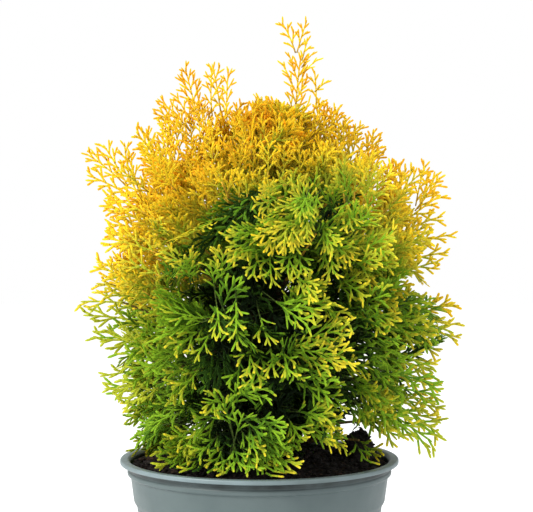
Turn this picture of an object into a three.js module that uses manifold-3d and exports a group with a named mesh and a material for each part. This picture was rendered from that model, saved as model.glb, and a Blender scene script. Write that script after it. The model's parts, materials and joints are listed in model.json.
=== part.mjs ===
// A young amber arborvitae in a two-litre nursery pot, as separate named solids:
// the pot, its soil, a trunk that runs up to the leader, the boughs round it, and the masses of
// flat scale-leaf sprays that the boughs carry.
// Millimetres, +Z up. The origin is the centre of the pot's flat underside, and -Y is the front.

import * as THREE from "three";
import { mergeVertices } from "three/addons/utils/BufferGeometryUtils.js";
import Module from "manifold-3d";

const wasm = await Module();
wasm.setup();

// The gap that neighbouring solids keep, and the wider one that foliage keeps round a limb.
const GAP = 0.3;
const LIMB_GAP = 0.6;

// The pot: a flat lip, a bead under it, then a collar and a tapered body. The wall's outside is
// given as [radius, height] from the base up to the neck under the bead.
const POT_HEIGHT = 130;
const POT_WALL = [[62, 2], [74.8, 101.6], [76.6, 104.6], [78.6, 119.6]];
const BASE_RADIUS = 60;
const BEAD = { radius: 80.6, foot: 121, top: 123 };
const NECK_RADIUS = 80;
const LIP = { radius: 85, width: 4.8, thickness: 2.6, round: 0.9 };
const WALL = 1.4;
const FLOOR = 2.4;
const DRAINS = { count: 8, radius: 4.5, circle: 46, sides: 10 };
const POT_SIDES = 32;

// The soil: nearly level with the lip, a little mounded and lumpy, flat under the trunk, with a
// clod at the back right. Its rings are shares of its radius, as is the width of its flat middle
// and of the bands at its edge in which the mound and the lumps fade out.
const SOIL_EDGE = 126;
const SOIL_RINGS = [0.94, 0.8, 0.6, 0.38, 0.2];
const SOIL_FLAT = { share: 0.22, band: 0.17 };
const MOUND = { height: 1.6, band: 0.45 };
const LUMPS = { height: 1.4, band: 0.08, waveX: 30, waveY: 37 };
const CLOD = { x: 63, y: 20, height: 14, spread: 11 };

// The trunk, which leans to the right as it rises, and its root flare. It has a ring of faces at
// each of these shares of its height.
const TRUNK_FOOT = new THREE.Vector3(4, 0, SOIL_EDGE + MOUND.height + GAP);
const TRUNK_TOP = new THREE.Vector3(20, 0, 344);
const TRUNK_RADIUS = { foot: 4.6, tip: 1.2 };
const FLARE = { width: 3.4, height: 5 };
const TRUNK_RINGS = [0, 0.015, 0.035, 0.07, 0.2, 0.35, 0.5, 0.65, 0.8, 1];
const TRUNK_SIDES = 7;

// The crown's outline: how far the sprays reach from the pot's axis, by height, on each side.
const LEFT_REACH = [
  [128, 72], [140, 82], [178, 100], [200, 102], [222, 115], [246, 100],
  [280, 98], [323, 110], [338, 84], [352, 68], [370, 51],
];
const RIGHT_REACH = [
  [128, 80], [143, 114], [160, 106], [178, 110], [196, 107], [214, 126],
  [238, 112], [268, 120], [300, 118], [312, 101], [325, 78], [345, 56], [366, 43],
];
const LOWEST_LEAF = POT_HEIGHT + 1.2;

// How steeply shoots point outwards at their tips, in degrees, by height.
const RISE = [[132, -16], [160, -4], [200, 10], [250, 22], [300, 42], [345, 68], [400, 84]];

// The tiers of limbs, from the soil up: how many, the first one's azimuth in degrees, the
// heights where the lowest and highest of them leave the trunk, the height of their tips, how
// much higher those to the left and right go, and the foliage's tint.
const TIERS = [
  { name: "skirt", count: 6, turn: -36, fork: [134, 146], tip: 147, sides: 0, tint: "green" },
  { name: "low", count: 5, turn: 0, fork: [150, 166], tip: 184, sides: 0, tint: "green" },
  { name: "middle", count: 5, turn: 180, fork: [171, 192], tip: 224, sides: 0, tint: "lime" },
  { name: "upper", count: 5, turn: 0, fork: [198, 228], tip: 268, sides: 0, tint: "lime" },
  { name: "high", count: 5, turn: 180, fork: [236, 266], tip: 308, sides: 8, tint: "amber" },
  { name: "top", count: 4, turn: -10, fork: [280, 306], tip: 336, sides: 18, tint: "amber" },
];
const TURN_JITTER = 6;
const HEIGHT_JITTER = 4;

// A limb's tip is at this share of the crown's reach, and its end runs straight for this share
// of its length. Its mass is centred on its heart, at this share of the limb.
const TIP_SHARE = 0.8;
const STRAIGHT_SHARE = 0.4;
const HEART_AT = 0.72;

// A limb starts with a bare bough, at least this share of it long, and goes on as a leafy stem.
// In the tiers with forks above a height it is leafy from the trunk on.
const SHORTEST_BOUGH = 0.34;
const LEAFY_ABOVE = 230;
const BOUGH_RADIUS = 2;
const STEM_RADIUS = { foot: 1.1, tip: 0.6 };
const BOUGH_SIDES = 5;
const STEM_SIDES = 4;

// The foliage: twigs at golden turns up each stem, spread wide at its foot and less at its tip,
// each with a flat spray at its end, and one more spray at the stem's tip. The places of the last
// twig and of the tip spray are shares of the limb. Each mass's twigs are turned further round
// than the last mass's. The place of a spray is sought among a number of tries, at one of a few
// shares of the room there.
const TWIGS = 8;
const LAST_TWIG = 0.96;
const STEM_TIP = 0.98;
const MASS_TURN = 61;
const TWIG_ANGLE = { foot: 80, tip: 38 };
const TWIG_SCATTER = 0.45;
const TIP_SCATTER = 0.2;
const GOLDEN_TURN = 137.5;
const TRIES = 32;
const TRY_SIZES = [0.98, 0.85, 0.72];

// A spray on its twig: its length, where along it the hub is and how thick, how far its tip
// droops as a share of its length, its twig's radius, and one side of its outline, as shares of
// its length along it and out from its midline.
const SPRAY_LENGTH = { least: 24, most: 58 };
const SPRAY_HUB = 0.42;
const SPRAY_THICKNESS = 1.3;
const SPRAY_DROOP = 0.08;
const TWIG_RADIUS = 0.6;
const SPRAY_OUTLINE = [[0.2, 0.02], [0.62, 0.38], [0.58, 0.21], [0.88, 0.3], [0.79, 0.11], [1, 0]];

// The leader above the trunk's tip: a thin shoot that forks at its crotch, with small narrow
// sprays up to these tips. The first two are the fork, and the others leave the shoot in turn
// between two shares of it, each turned further than the last.
const CROTCH = new THREE.Vector3(19, 0, 372);
const LEADER_RADIUS = { foot: 1, tip: 0.7 };
const LEADER_SPRAY = { width: 0.6, roll: 20, turn: 25, lowest: 0.33, highest: 0.76 };
const LEADER_TIPS = [
  [14.5, 0, 400], [28.5, 2, 399], [42, -3, 364], [33, 3, 382],
  [11, 3, 376], [30, -14, 358], [12, -12, 360], [22, 14, 362],
];

const UP = new THREE.Vector3(0, 0, 1);
const BACK = new THREE.Vector3(0, 1, 0);
const radians = THREE.MathUtils.degToRad;
const lerp = THREE.MathUtils.lerp;

// A repeatable number from 0 to 1 for a seed and a step, and one from -1 to 1.
function chance(seed, step) {
  const wave = Math.sin(seed * 12.9898 + step * 78.233) * 43758.5453;
  return wave - Math.floor(wave);
}
const swing = (seed, step) => 2 * chance(seed, step) - 1;

// The value at x on the straight lines through rows of [x, value].
function along(rows, x) {
  const next = rows.findIndex(([at]) => at >= x);
  if (next === 0) return rows[0][1];
  if (next < 0) return rows.at(-1)[1];
  const [[x0, y0], [x1, y1]] = rows.slice(next - 1, next + 1);
  return lerp(y0, y1, (x - x0) / (x1 - x0));
}

// A value that rises from 0 at the start of a band to 1 at its end.
const fadeIn = (distance, band) => THREE.MathUtils.clamp(distance / band, 0, 1);

// A unit vector square to an axis: level, unless the axis is nearly upright.
function squareTo(axis) {
  const helper = Math.abs(axis.z) < 0.95 ? UP : BACK;
  return helper.clone().cross(axis).normalize();
}

// A closed geometry as a solid that can be joined and cut.
function solidFrom(geometry) {
  const bare = geometry.clone();
  bare.deleteAttribute("normal");
  bare.deleteAttribute("uv");
  const merged = mergeVertices(bare, 1e-4);
  return new wasm.Manifold(
    new wasm.Mesh({
      numProp: 3,
      vertProperties: merged.attributes.position.array,
      triVerts: new Uint32Array(merged.index.array),
    }),
  );
}

// A solid as a geometry.
function geometryFrom(solid) {
  const mesh = solid.getMesh();
  const positions = new Float32Array(mesh.numVert * 3);
  for (let i = 0; i < mesh.numVert; i++) {
    positions.set(mesh.vertProperties.subarray(i * mesh.numProp, i * mesh.numProp + 3), i * 3);
  }
  return new THREE.BufferGeometry()
    .setAttribute("position", new THREE.BufferAttribute(positions, 3))
    .setIndex(new THREE.BufferAttribute(mesh.triVerts, 1));
}

// One closed body from solids that meet, cut clear of another. Loose scraps are dropped.
function fuse(solids, cut) {
  const whole = solids.reduce((sum, solid) => sum.add(solid)).subtract(cut);
  const bodies = whole.decompose().sort((a, b) => b.volume() - a.volume());
  return geometryFrom(bodies[0]);
}

// A geometry of triangles that index a list of points.
function meshOf(points, triangles) {
  return new THREE.BufferGeometry().setFromPoints(points).setIndex(triangles.flat());
}

// The points of a geometry.
function pointsOf(geometry) {
  const position = geometry.getAttribute("position");
  return Array.from({ length: position.count }, (_, i) =>
    new THREE.Vector3().fromBufferAttribute(position, i),
  );
}

// A solid of revolution round Z from [radius, height] pairs.
function turned(pairs) {
  const profile = pairs.map(([radius, height]) => new THREE.Vector2(radius, height));
  return new THREE.LatheGeometry(profile, POT_SIDES).rotateX(Math.PI / 2);
}

// A limb with flat ends: a ring of points round a curve at each of a list of places on it, with
// the radius that a function gives there.
function limb(curve, places, radiusAt, sides) {
  const across = squareTo(curve.getTangent(places[0]));
  const points = places.flatMap((place) => {
    const centre = curve.getPoint(place);
    const tangent = curve.getTangent(place);
    across.addScaledVector(tangent, -across.dot(tangent)).normalize();
    return Array.from({ length: sides }, (_, side) =>
      across
        .clone()
        .applyAxisAngle(tangent, (2 * Math.PI * side) / sides)
        .multiplyScalar(radiusAt(place))
        .add(centre),
    );
  });
  const last = (places.length - 1) * sides;
  const triangles = [];
  for (let ring = 0; ring < last; ring += sides) {
    for (let side = 0; side < sides; side++) {
      const a = ring + side;
      const b = ring + ((side + 1) % sides);
      triangles.push([a, b, b + sides], [a, b + sides, a + sides]);
    }
  }
  for (let side = 1; side < sides - 1; side++) {
    triangles.push([0, side + 1, side], [last, last + side, last + side + 1]);
  }
  return solidFrom(meshOf(points, triangles));
}

// Evenly spaced places on a curve.
function spaced(from, to, steps) {
  return Array.from({ length: steps + 1 }, (_, i) => lerp(from, to, i / steps));
}

// The inside of the pot from the floor's edge to the bead's top, set in by a clearance.
function potInside(clearance) {
  const inset = WALL + clearance;
  const [[footRadius], ...above] = POT_WALL;
  return [
    [footRadius - inset, FLOOR + clearance],
    ...above.map(([radius, height]) => [radius - inset, height]),
    [NECK_RADIUS - inset, BEAD.top],
  ];
}

// The pot, with drain holes through its floor.
function makePot() {
  const lipFoot = POT_HEIGHT - LIP.thickness;
  const outside = [
    [0, 0],
    [BASE_RADIUS, 0],
    ...POT_WALL,
    [BEAD.radius, BEAD.foot],
    [BEAD.radius, BEAD.top],
    [NECK_RADIUS, BEAD.top + LIP.round],
    [NECK_RADIUS + LIP.round, lipFoot - LIP.round],
    [LIP.radius, lipFoot],
    [LIP.radius, POT_HEIGHT - LIP.round],
    [LIP.radius - LIP.round, POT_HEIGHT],
  ];
  const inside = [
    [LIP.radius - LIP.width, POT_HEIGHT],
    [NECK_RADIUS - WALL, POT_HEIGHT - 2 * LIP.round],
    ...potInside(0).reverse(),
    [0, FLOOR],
  ];
  let pot = solidFrom(turned([...outside, ...inside]));
  for (let i = 0; i < DRAINS.count; i++) {
    const turn = (2 * Math.PI * i) / DRAINS.count;
    const drain = new THREE.CylinderGeometry(DRAINS.radius, DRAINS.radius, 4 * FLOOR, DRAINS.sides)
      .rotateX(Math.PI / 2)
      .translate(DRAINS.circle * Math.cos(turn), DRAINS.circle * Math.sin(turn), 0);
    pot = pot.subtract(solidFrom(drain));
  }
  return pot;
}

// How far the soil stands above its edge at a point, at a share of its radius: the mound and the
// clod, which fade out at the edge, and lumps between the edge and the flat middle.
function soilRise(x, y, share) {
  const mound = MOUND.height * fadeIn(1 - share, MOUND.band);
  const lumpy = fadeIn(share - SOIL_FLAT.share, SOIL_FLAT.band);
  const waves = Math.sin((2 * Math.PI * x) / LUMPS.waveX) * Math.sin((2 * Math.PI * y) / LUMPS.waveY);
  const away = Math.hypot(x - CLOD.x, y - CLOD.y) / CLOD.spread;
  const clod = CLOD.height * Math.exp(-(away ** 4));
  return mound + fadeIn(1 - share, LUMPS.band) * (LUMPS.height * lumpy * waves + clod);
}

// The soil, which fills the pot.
function makeSoil() {
  const inside = potInside(GAP);
  const edge = inside.at(-1)[0];
  const rings = SOIL_RINGS.map((share) => [share * edge, SOIL_EDGE]);
  const foot = [0, FLOOR + GAP];
  const soil = turned([foot, ...inside, [edge, SOIL_EDGE], ...rings, [0, SOIL_EDGE]]);
  const position = soil.getAttribute("position");
  pointsOf(soil).forEach(({ x, y, z }, i) => {
    const share = Math.min(1, Math.hypot(x, y) / edge);
    if (z > BEAD.top) position.setZ(i, SOIL_EDGE + soilRise(x, y, share));
  });
  return solidFrom(soil);
}

// The trunk's line. It starts upright, so its foot is cut level, and its middle point is at half
// height, so that shares of the curve are shares of its height.
const trunkPath = new THREE.QuadraticBezierCurve3(
  TRUNK_FOOT,
  TRUNK_FOOT.clone().setZ((TRUNK_FOOT.z + TRUNK_TOP.z) / 2),
  TRUNK_TOP,
);

// The trunk, grown by a margin: a straight taper with a flare at the foot.
function makeTrunk(margin) {
  const radiusAt = (share) => {
    const rise = share * (TRUNK_TOP.z - TRUNK_FOOT.z);
    const flare = FLARE.width * Math.exp(-rise / FLARE.height);
    return lerp(TRUNK_RADIUS.foot, TRUNK_RADIUS.tip, share) + flare + margin;
  };
  return limb(trunkPath, TRUNK_RINGS, radiusAt, TRUNK_SIDES);
}

// The crown's reach at an azimuth in radians and a height: the left and right outlines at the
// sides, and their mean at the front and back.
function crownReach(azimuth, height) {
  const left = along(LEFT_REACH, height);
  const right = along(RIGHT_REACH, height);
  const side = Math.cos(azimuth);
  return lerp((left + right) / 2, side > 0 ? right : left, side ** 2);
}

// Whether a point is inside the crown's outline and above the pot.
function inCrown(point) {
  const reach = crownReach(Math.atan2(point.y, point.x), point.z);
  return Math.hypot(point.x, point.y) <= reach && point.z > LOWEST_LEAF;
}

// The direction in which shoots point at an azimuth in radians and a height.
function outward(azimuth, height) {
  const rise = radians(along(RISE, height));
  const level = new THREE.Vector3(Math.cos(azimuth), Math.sin(azimuth), 0);
  return level.multiplyScalar(Math.cos(rise)).addScaledVector(UP, Math.sin(rise));
}

// The limbs of all tiers: each has its tier's values and is a curve from the trunk to its tip.
// Every second limb of a tier leaves the trunk higher up than the last.
function planLimbs() {
  const limbs = [];
  for (const tier of TIERS) {
    for (let i = 0; i < tier.count; i++) {
      const seed = limbs.length + 1;
      const azimuth = radians(tier.turn + (360 * i) / tier.count + TURN_JITTER * swing(seed, 1));
      const lift = tier.sides * Math.cos(azimuth) ** 2 + HEIGHT_JITTER * swing(seed, 2);
      const reach = TIP_SHARE * crownReach(azimuth, tier.tip + lift);
      const level = new THREE.Vector3(Math.cos(azimuth), Math.sin(azimuth), 0);
      const tip = level.multiplyScalar(reach).setZ(tier.tip + lift);
      const forkHeight = lerp(...tier.fork, ((2 * i) % tier.count) / (tier.count - 1));
      const fork = trunkPath.getPoint((forkHeight - TRUNK_FOOT.z) / (TRUNK_TOP.z - TRUNK_FOOT.z));
      const straight = STRAIGHT_SHARE * tip.distanceTo(fork);
      const bend = tip.clone().addScaledVector(outward(azimuth, tip.z), -straight);
      const path = new THREE.QuadraticBezierCurve3(fork, bend, tip);
      const heart = path.getPoint(HEART_AT);
      limbs.push({ ...tier, name: `${tier.name}_${i + 1}`, seed, path, heart });
    }
  }
  return limbs;
}

// The walls of a mass's space: half way to each other heart, less the gap.
function wallsOf(heart, hearts) {
  const others = hearts.filter((other) => other !== heart);
  return others.map((other) => {
    const across = other.clone().sub(heart).normalize();
    const middle = other.clone().add(heart).multiplyScalar(0.5);
    return { across, limit: middle.dot(across) - GAP };
  });
}

// Whether points lie inside walls.
function insideWalls(points, walls) {
  return walls.every(({ across, limit }) => points.every((point) => point.dot(across) < limit));
}

// Where a limb turns from bare bough to leafy stem: the last place outside its mass's space.
function boughEnd(path, walls) {
  const places = spaced(1, SHORTEST_BOUGH, 20);
  const outside = places.find((place) => !insideWalls([path.getPoint(place)], walls));
  return outside ?? SHORTEST_BOUGH;
}

// A twig that ends in a flat spray, along +X with the spray's face up, at a share of the usual
// width. The spray is a toothed blade, thickest at a hub on its midline, that droops to its tip.
function sprayBlade(length, width) {
  const half = SPRAY_THICKNESS / 2;
  const drop = (share) => -SPRAY_DROOP * length * share ** 2;
  const tooth = ([share, out], side) =>
    new THREE.Vector3(share * length, side * out * width * length, drop(share));
  const hub = (side) => new THREE.Vector3(SPRAY_HUB * length, 0, drop(SPRAY_HUB) + side * half);
  const foot = (turn) =>
    new THREE.Vector3(0, 0, TWIG_RADIUS).applyAxisAngle(new THREE.Vector3(-1, 0, 0), radians(turn));
  const rim = [
    ...SPRAY_OUTLINE.map((point) => tooth(point, -1)),
    ...SPRAY_OUTLINE.slice(0, -1).reverse().map((point) => tooth(point, 1)),
  ];
  const points = [...rim, hub(1), hub(-1), foot(0), foot(120), foot(240)];
  const [right, left, top, under] = [0, rim.length - 1, rim.length, rim.length + 1];
  const [footTop, footLeft, footRight] = [under + 1, under + 2, under + 3];
  const triangles = [
    [top, left, footTop],
    [top, footTop, right],
    [under, footLeft, left],
    [under, footRight, footLeft],
    [under, right, footRight],
    [left, footLeft, footTop],
    [right, footTop, footRight],
    [footTop, footLeft, footRight],
  ];
  for (let i = 0; i < left; i++) {
    triangles.push([top, i, i + 1], [under, i + 1, i]);
  }
  return meshOf(points, triangles);
}

// A spray placed with its foot at a point, along a direction, its face turned by a roll.
function placedSpray(length, root, direction, roll, width = 1) {
  const side = squareTo(direction).applyAxisAngle(direction, roll);
  const face = direction.clone().cross(side);
  const frame = new THREE.Matrix4().makeBasis(direction, side, face).setPosition(root);
  return sprayBlade(length, width).applyMatrix4(frame);
}

// How far a spray can reach from a point along a direction, inside its walls and the crown.
function roomAhead(root, direction, walls) {
  let room = SPRAY_LENGTH.most;
  for (const { across, limit } of walls) {
    const speed = direction.dot(across);
    if (speed > 0) room = Math.min(room, (limit - root.dot(across)) / speed);
  }
  while (room > SPRAY_LENGTH.least && !inCrown(root.clone().addScaledVector(direction, room))) {
    room -= 1;
  }
  return room;
}

// Directions scattered about an aim, each with a roll and the room ahead of it, roomiest first.
function scatter(root, aim, spread, walls, seed) {
  const places = Array.from({ length: TRIES }, (_, i) => {
    const turn = [1, 2, 3].map((axis) => spread * swing(seed, 5 * i + axis));
    const direction = aim.clone().add(new THREE.Vector3(...turn)).normalize();
    const roll = radians(90) * swing(seed, 5 * i + 4);
    return { direction, roll, room: roomAhead(root, direction, walls) };
  });
  return places.sort((a, b) => b.room - a.room);
}

// A direction at an angle from an axis, in the plane at a turn round that axis.
function branchAim(axis, turn, angle) {
  const side = squareTo(axis).applyAxisAngle(axis, turn);
  return axis.clone().multiplyScalar(Math.cos(angle)).addScaledVector(side, Math.sin(angle));
}

// A mass: a stem, and twigs at golden turns round it that end in sprays. A spray that would leave
// the mass's space or the crown, touch an obstacle or cross another spray is tried elsewhere, and
// skipped if no place fits.
function growMass(plan, obstacles) {
  const radiusAt = (place) => lerp(STEM_RADIUS.foot, STEM_RADIUS.tip, place);
  const stem = limb(plan.path, spaced(plan.leafyFrom, 1, 4), radiusAt, STEM_SIDES);
  const sprays = [];
  const isClear = (solid) =>
    [...sprays, ...obstacles].every((other) => solid.intersect(other).isEmpty());
  const addSpray = (root, aim, spread, seed) => {
    for (const { direction, roll, room } of scatter(root, aim, spread, plan.walls, seed)) {
      for (const length of TRY_SIZES.map((size) => size * room)) {
        if (length < SPRAY_LENGTH.least) continue;
        const spray = placedSpray(length, root, direction, roll);
        const points = pointsOf(spray);
        if (!insideWalls(points, plan.walls) || !points.every(inCrown)) continue;
        const solid = solidFrom(spray);
        if (!isClear(solid)) continue;
        sprays.push(solid);
        return;
      }
    }
  };
  addSpray(plan.path.getPoint(STEM_TIP), plan.path.getTangent(1), TIP_SCATTER, plan.seed);
  for (let i = 0; i < TWIGS; i++) {
    const share = (i + 0.5) / TWIGS;
    const place = lerp(plan.boughEnd, LAST_TWIG, share);
    const turn = radians(GOLDEN_TURN * i + MASS_TURN * plan.seed);
    const angle = radians(lerp(TWIG_ANGLE.foot, TWIG_ANGLE.tip, share));
    const aim = branchAim(plan.path.getTangent(place), turn, angle);
    addSpray(plan.path.getPoint(place), aim, TWIG_SCATTER, plan.seed + 100 * (i + 1));
  }
  return [stem, ...sprays];
}

// The leader: the shoot above the trunk's tip, and its sprays from the crotch and up the shoot.
function growLeader() {
  const shoot = new THREE.LineCurve3(TRUNK_TOP.clone().addScaledVector(UP, GAP), CROTCH);
  const radiusAt = (place) => lerp(LEADER_RADIUS.foot, LEADER_RADIUS.tip, place);
  const sprays = LEADER_TIPS.map((tip, i) => {
    const share = (i - 2) / (LEADER_TIPS.length - 3);
    const place = lerp(LEADER_SPRAY.lowest, LEADER_SPRAY.highest, share);
    const root = i < 2 ? CROTCH : shoot.getPoint(place);
    const aim = new THREE.Vector3(...tip).sub(root);
    const length = aim.length();
    const roll = radians(LEADER_SPRAY.roll + LEADER_SPRAY.turn * i);
    return solidFrom(placedSpray(length, root, aim.normalize(), roll, LEADER_SPRAY.width));
  });
  return [limb(shoot, [0, 1], radiusAt, STEM_SIDES), ...sprays];
}

const LOOKS = {
  pot: { color: 0x8a989c, roughness: 0.5 },
  soil: { color: 0x1c130d, roughness: 0.95 },
  bark: { color: 0x6a4a2e, roughness: 0.85 },
  green: { color: 0x56872a, roughness: 0.6 },
  lime: { color: 0x9fb82c, roughness: 0.6 },
  amber: { color: 0xe8b32c, roughness: 0.6 },
};

const plant = new THREE.Group();
plant.name = "potted_arborvitae";

function addNode(name, geometry, look) {
  const material = new THREE.MeshStandardMaterial({ ...LOOKS[look], metalness: 0 });
  const mesh = new THREE.Mesh(geometry, material);
  mesh.name = name;
  plant.add(mesh);
}

const soil = makeSoil();
addNode("pot", geometryFrom(makePot()), "pot");
addNode("soil", geometryFrom(soil), "soil");
addNode("trunk", geometryFrom(makeTrunk(0)), "bark");

const plans = planLimbs();
const hearts = [...plans.map((plan) => plan.heart), CROTCH];
const boughRadius = (place) => lerp(BOUGH_RADIUS, STEM_RADIUS.foot, place);
for (const plan of plans) {
  plan.walls = wallsOf(plan.heart, hearts);
  plan.boughEnd = boughEnd(plan.path, plan.walls);
  plan.leafyFrom = plan.fork[0] > LEAFY_ABOVE ? 0 : plan.boughEnd;
  const places = spaced(0, plan.boughEnd, 3);
  plan.clearance = limb(plan.path, places, (place) => boughRadius(place) + LIMB_GAP, BOUGH_SIDES);
}

const nearTrunk = makeTrunk(GAP);
for (const plan of plans) {
  if (plan.leafyFrom > 0) {
    const places = spaced(0, plan.boughEnd - GAP / plan.path.getLength(), 3);
    const bough = limb(plan.path, places, boughRadius, BOUGH_SIDES);
    addNode(`bough_${plan.name}`, fuse([bough], nearTrunk), "bark");
  }
  const others = plans.filter((other) => other !== plan).map((other) => other.clearance);
  const mass = growMass(plan, [makeTrunk(LIMB_GAP), soil, ...others]);
  addNode(`foliage_${plan.name}`, fuse(mass, nearTrunk), plan.tint);
}
addNode("foliage_leader", fuse(growLeader(), nearTrunk), "amber");

export default plant;
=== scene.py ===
"""Looks of a young amber arborvitae in its nursery pot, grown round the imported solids.

Lengths are in millimetres and become metres when a mesh is made. +Z is up, -Y is the front that
the photograph shows, and the origin is the centre of the pot's flat underside. The plant grows by
the rule that the solids were grown by, carried on to finer twigs inside the same reach.
"""

import json
import logging
from dataclasses import dataclass, field
from enum import Enum, IntEnum
from typing import Self, Sequence

import bpy
import numpy as np
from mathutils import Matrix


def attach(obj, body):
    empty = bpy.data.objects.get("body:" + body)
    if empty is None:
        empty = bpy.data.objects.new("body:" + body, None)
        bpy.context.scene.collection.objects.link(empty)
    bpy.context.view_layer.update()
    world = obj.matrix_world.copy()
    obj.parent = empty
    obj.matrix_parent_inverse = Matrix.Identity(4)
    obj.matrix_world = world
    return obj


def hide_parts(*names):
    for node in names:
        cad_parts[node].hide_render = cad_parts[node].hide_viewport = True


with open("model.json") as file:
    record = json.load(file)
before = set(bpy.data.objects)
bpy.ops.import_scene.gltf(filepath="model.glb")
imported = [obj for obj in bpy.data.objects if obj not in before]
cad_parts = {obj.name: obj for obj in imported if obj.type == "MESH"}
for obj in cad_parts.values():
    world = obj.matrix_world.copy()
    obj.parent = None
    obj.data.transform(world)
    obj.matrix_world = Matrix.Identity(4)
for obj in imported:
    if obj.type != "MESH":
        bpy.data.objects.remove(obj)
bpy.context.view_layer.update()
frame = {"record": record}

Array = np.ndarray
Pair = tuple[float, float]
Triple = tuple[float, float, float]
Four = tuple[float, float, float, float]
Colour = Triple
Table = tuple[Pair, ...]
Socket = bpy.types.NodeSocket

MILLIMETRE = 0.001
MOST_TRIANGLES = 190_000
UP = np.array([0.0, 0.0, 1.0])
BACK = np.array([0.0, 1.0, 0.0])

log = logging.getLogger("arborvitae")


# Numbers and vectors


def chance(seed: Array | float, step: Array | float) -> Array:
    """A repeatable number from 0 to 1: the fraction of a large sine of a seed and a step."""
    wave = np.sin(np.asarray(seed) * 12.9898 + np.asarray(step) * 78.233) * 43758.5453
    return wave - np.floor(wave)


def swing(seed: Array | float, step: Array | float) -> Array:
    """The same number, spread from -1 to 1."""
    return 2 * chance(seed, step) - 1


def lerp(start: Array | float, end: Array | float, share: Array | float) -> Array:
    """The value at a share of the way from start to end."""
    return start + (end - start) * share


def along(rows: Table, x: Array) -> Array:
    """The value at x on the straight lines through rows of (x, value)."""
    table = np.asarray(rows, float)
    return np.interp(x, table[:, 0], table[:, 1])


def unit(vectors: Array) -> Array:
    """Vectors brought to length 1."""
    return vectors / np.maximum(np.linalg.norm(vectors, axis=-1, keepdims=True), 1e-9)


def dot(a: Array, b: Array) -> Array:
    """The dot products of two stacks of vectors, kept as a last axis of one."""
    return np.sum(a * b, axis=-1, keepdims=True)


def square_to(axis: Array) -> Array:
    """Unit vectors square to axes: level ones, unless an axis is nearly upright."""
    helper = np.where(np.abs(axis[..., 2:]) < 0.95, UP, BACK)
    return unit(np.cross(helper, axis))


def turned_about(vectors: Array, axis: Array, angle: Array) -> Array:
    """Vectors square to an axis, turned round it by angles in radians."""
    return vectors * np.cos(angle)[..., None] + np.cross(axis, vectors) * np.sin(angle)[..., None]


def ripples(points: Array, waves: Sequence[Four]) -> Array:
    """The sum of sine waves, each a strength, two frequencies and a phase, at points in a plane."""
    return sum(s * np.sin(fx * points[..., 0] + fy * points[..., 1] + p) for s, fx, fy, p in waves)


# Shapes


@dataclass
class Shape:
    """A surface of triangles.

    Attributes:
        points: One row a point, in millimetres.
        triangles: One row a triangle, of three indices of points that run left round outside.
    """

    points: Array
    triangles: Array

    @classmethod
    def joined(cls, shapes: Sequence[Self]) -> Self:
        """One shape that holds several.

        Args:
            shapes: The shapes.

        Returns:
            All their points and triangles.
        """
        counts = np.array([len(shape.points) for shape in shapes])
        starts = np.cumsum(counts) - counts
        triangles = [shape.triangles + start for shape, start in zip(shapes, starts)]
        return cls(np.concatenate([s.points for s in shapes]), np.concatenate(triangles))

    def piece(
        self, name: str, material: bpy.types.Material, smooth: bool = True
    ) -> bpy.types.Object:
        """Makes the shape an object at the origin, in metres.

        Args:
            name: The object's and the mesh's name.
            material: What it is made of.
            smooth: Whether its faces are shaded as one round surface.

        Returns:
            The object, in the scene.
        """
        mesh = bpy.data.meshes.new(name)
        count = len(self.triangles)
        mesh.vertices.add(len(self.points))
        mesh.vertices.foreach_set("co", (self.points * MILLIMETRE).astype(np.float32).ravel())
        mesh.loops.add(3 * count)
        mesh.loops.foreach_set("vertex_index", self.triangles.astype(np.int32).ravel())
        mesh.polygons.add(count)
        mesh.polygons.foreach_set("loop_start", np.arange(0, 3 * count, 3, dtype=np.int32))
        mesh.polygons.foreach_set("use_smooth", np.full(count, smooth))
        mesh.update(calc_edges=True)
        mesh.materials.append(material)
        made = bpy.data.objects.new(name, mesh)
        bpy.context.scene.collection.objects.link(made)
        return made


def grid_triangles(rows: int, columns: int) -> Array:
    """Two triangles for each cell of a grid of points whose columns close into a ring.

    Args:
        rows: The number of rings.
        columns: The points in each ring.

    Returns:
        Triangles whose outside is away from the axis when the rings rise and run left round.
    """
    column = np.arange(columns)
    ring = columns * np.arange(rows - 1)[:, None]
    a = (ring + column).ravel()
    b = (ring + (column + 1) % columns).ravel()
    halves = [np.stack([a, b, b + columns], 1), np.stack([a, b + columns, a + columns], 1)]
    return np.concatenate(halves)


def closed_rings(rings: Array, foot: Array, head: Array) -> Shape:
    """A skin over a stack of rings, closed by a fan to a point at each end.

    Args:
        rings: Points by ring, place in the ring and axis.
        foot: The point that closes the first ring.
        head: The point that closes the last ring.

    Returns:
        The closed shape.
    """
    rows, columns, _ = rings.shape
    points = np.concatenate([rings.reshape(-1, 3), foot[None], head[None]])
    here = np.arange(columns)
    ahead = (here + 1) % columns
    last = (rows - 1) * columns
    low = np.stack([ahead, here, np.full(columns, rows * columns)], 1)
    high = np.stack([last + here, last + ahead, np.full(columns, rows * columns + 1)], 1)
    return Shape(points, np.concatenate([grid_triangles(rows, columns), low, high]))


def lathed(profile: Array, sides: int) -> Shape:
    """A turned shape: each point (radius, height) of a profile carried round the Z axis.

    Args:
        profile: Points from the axis round the outside and back to the axis.
        sides: The number of faces round it.

    Returns:
        The closed shape.
    """
    turn = np.linspace(0, 2 * np.pi, sides, endpoint=False)
    radius, height = profile[1:-1, 0, None], profile[1:-1, 1, None]
    round_it = [radius * np.cos(turn), radius * np.sin(turn), height]
    rings = np.stack(np.broadcast_arrays(*round_it), axis=-1)
    foot, head = (np.array([0, 0, end]) for end in profile[[0, -1], 1])
    return closed_rings(rings, foot, head)


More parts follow.
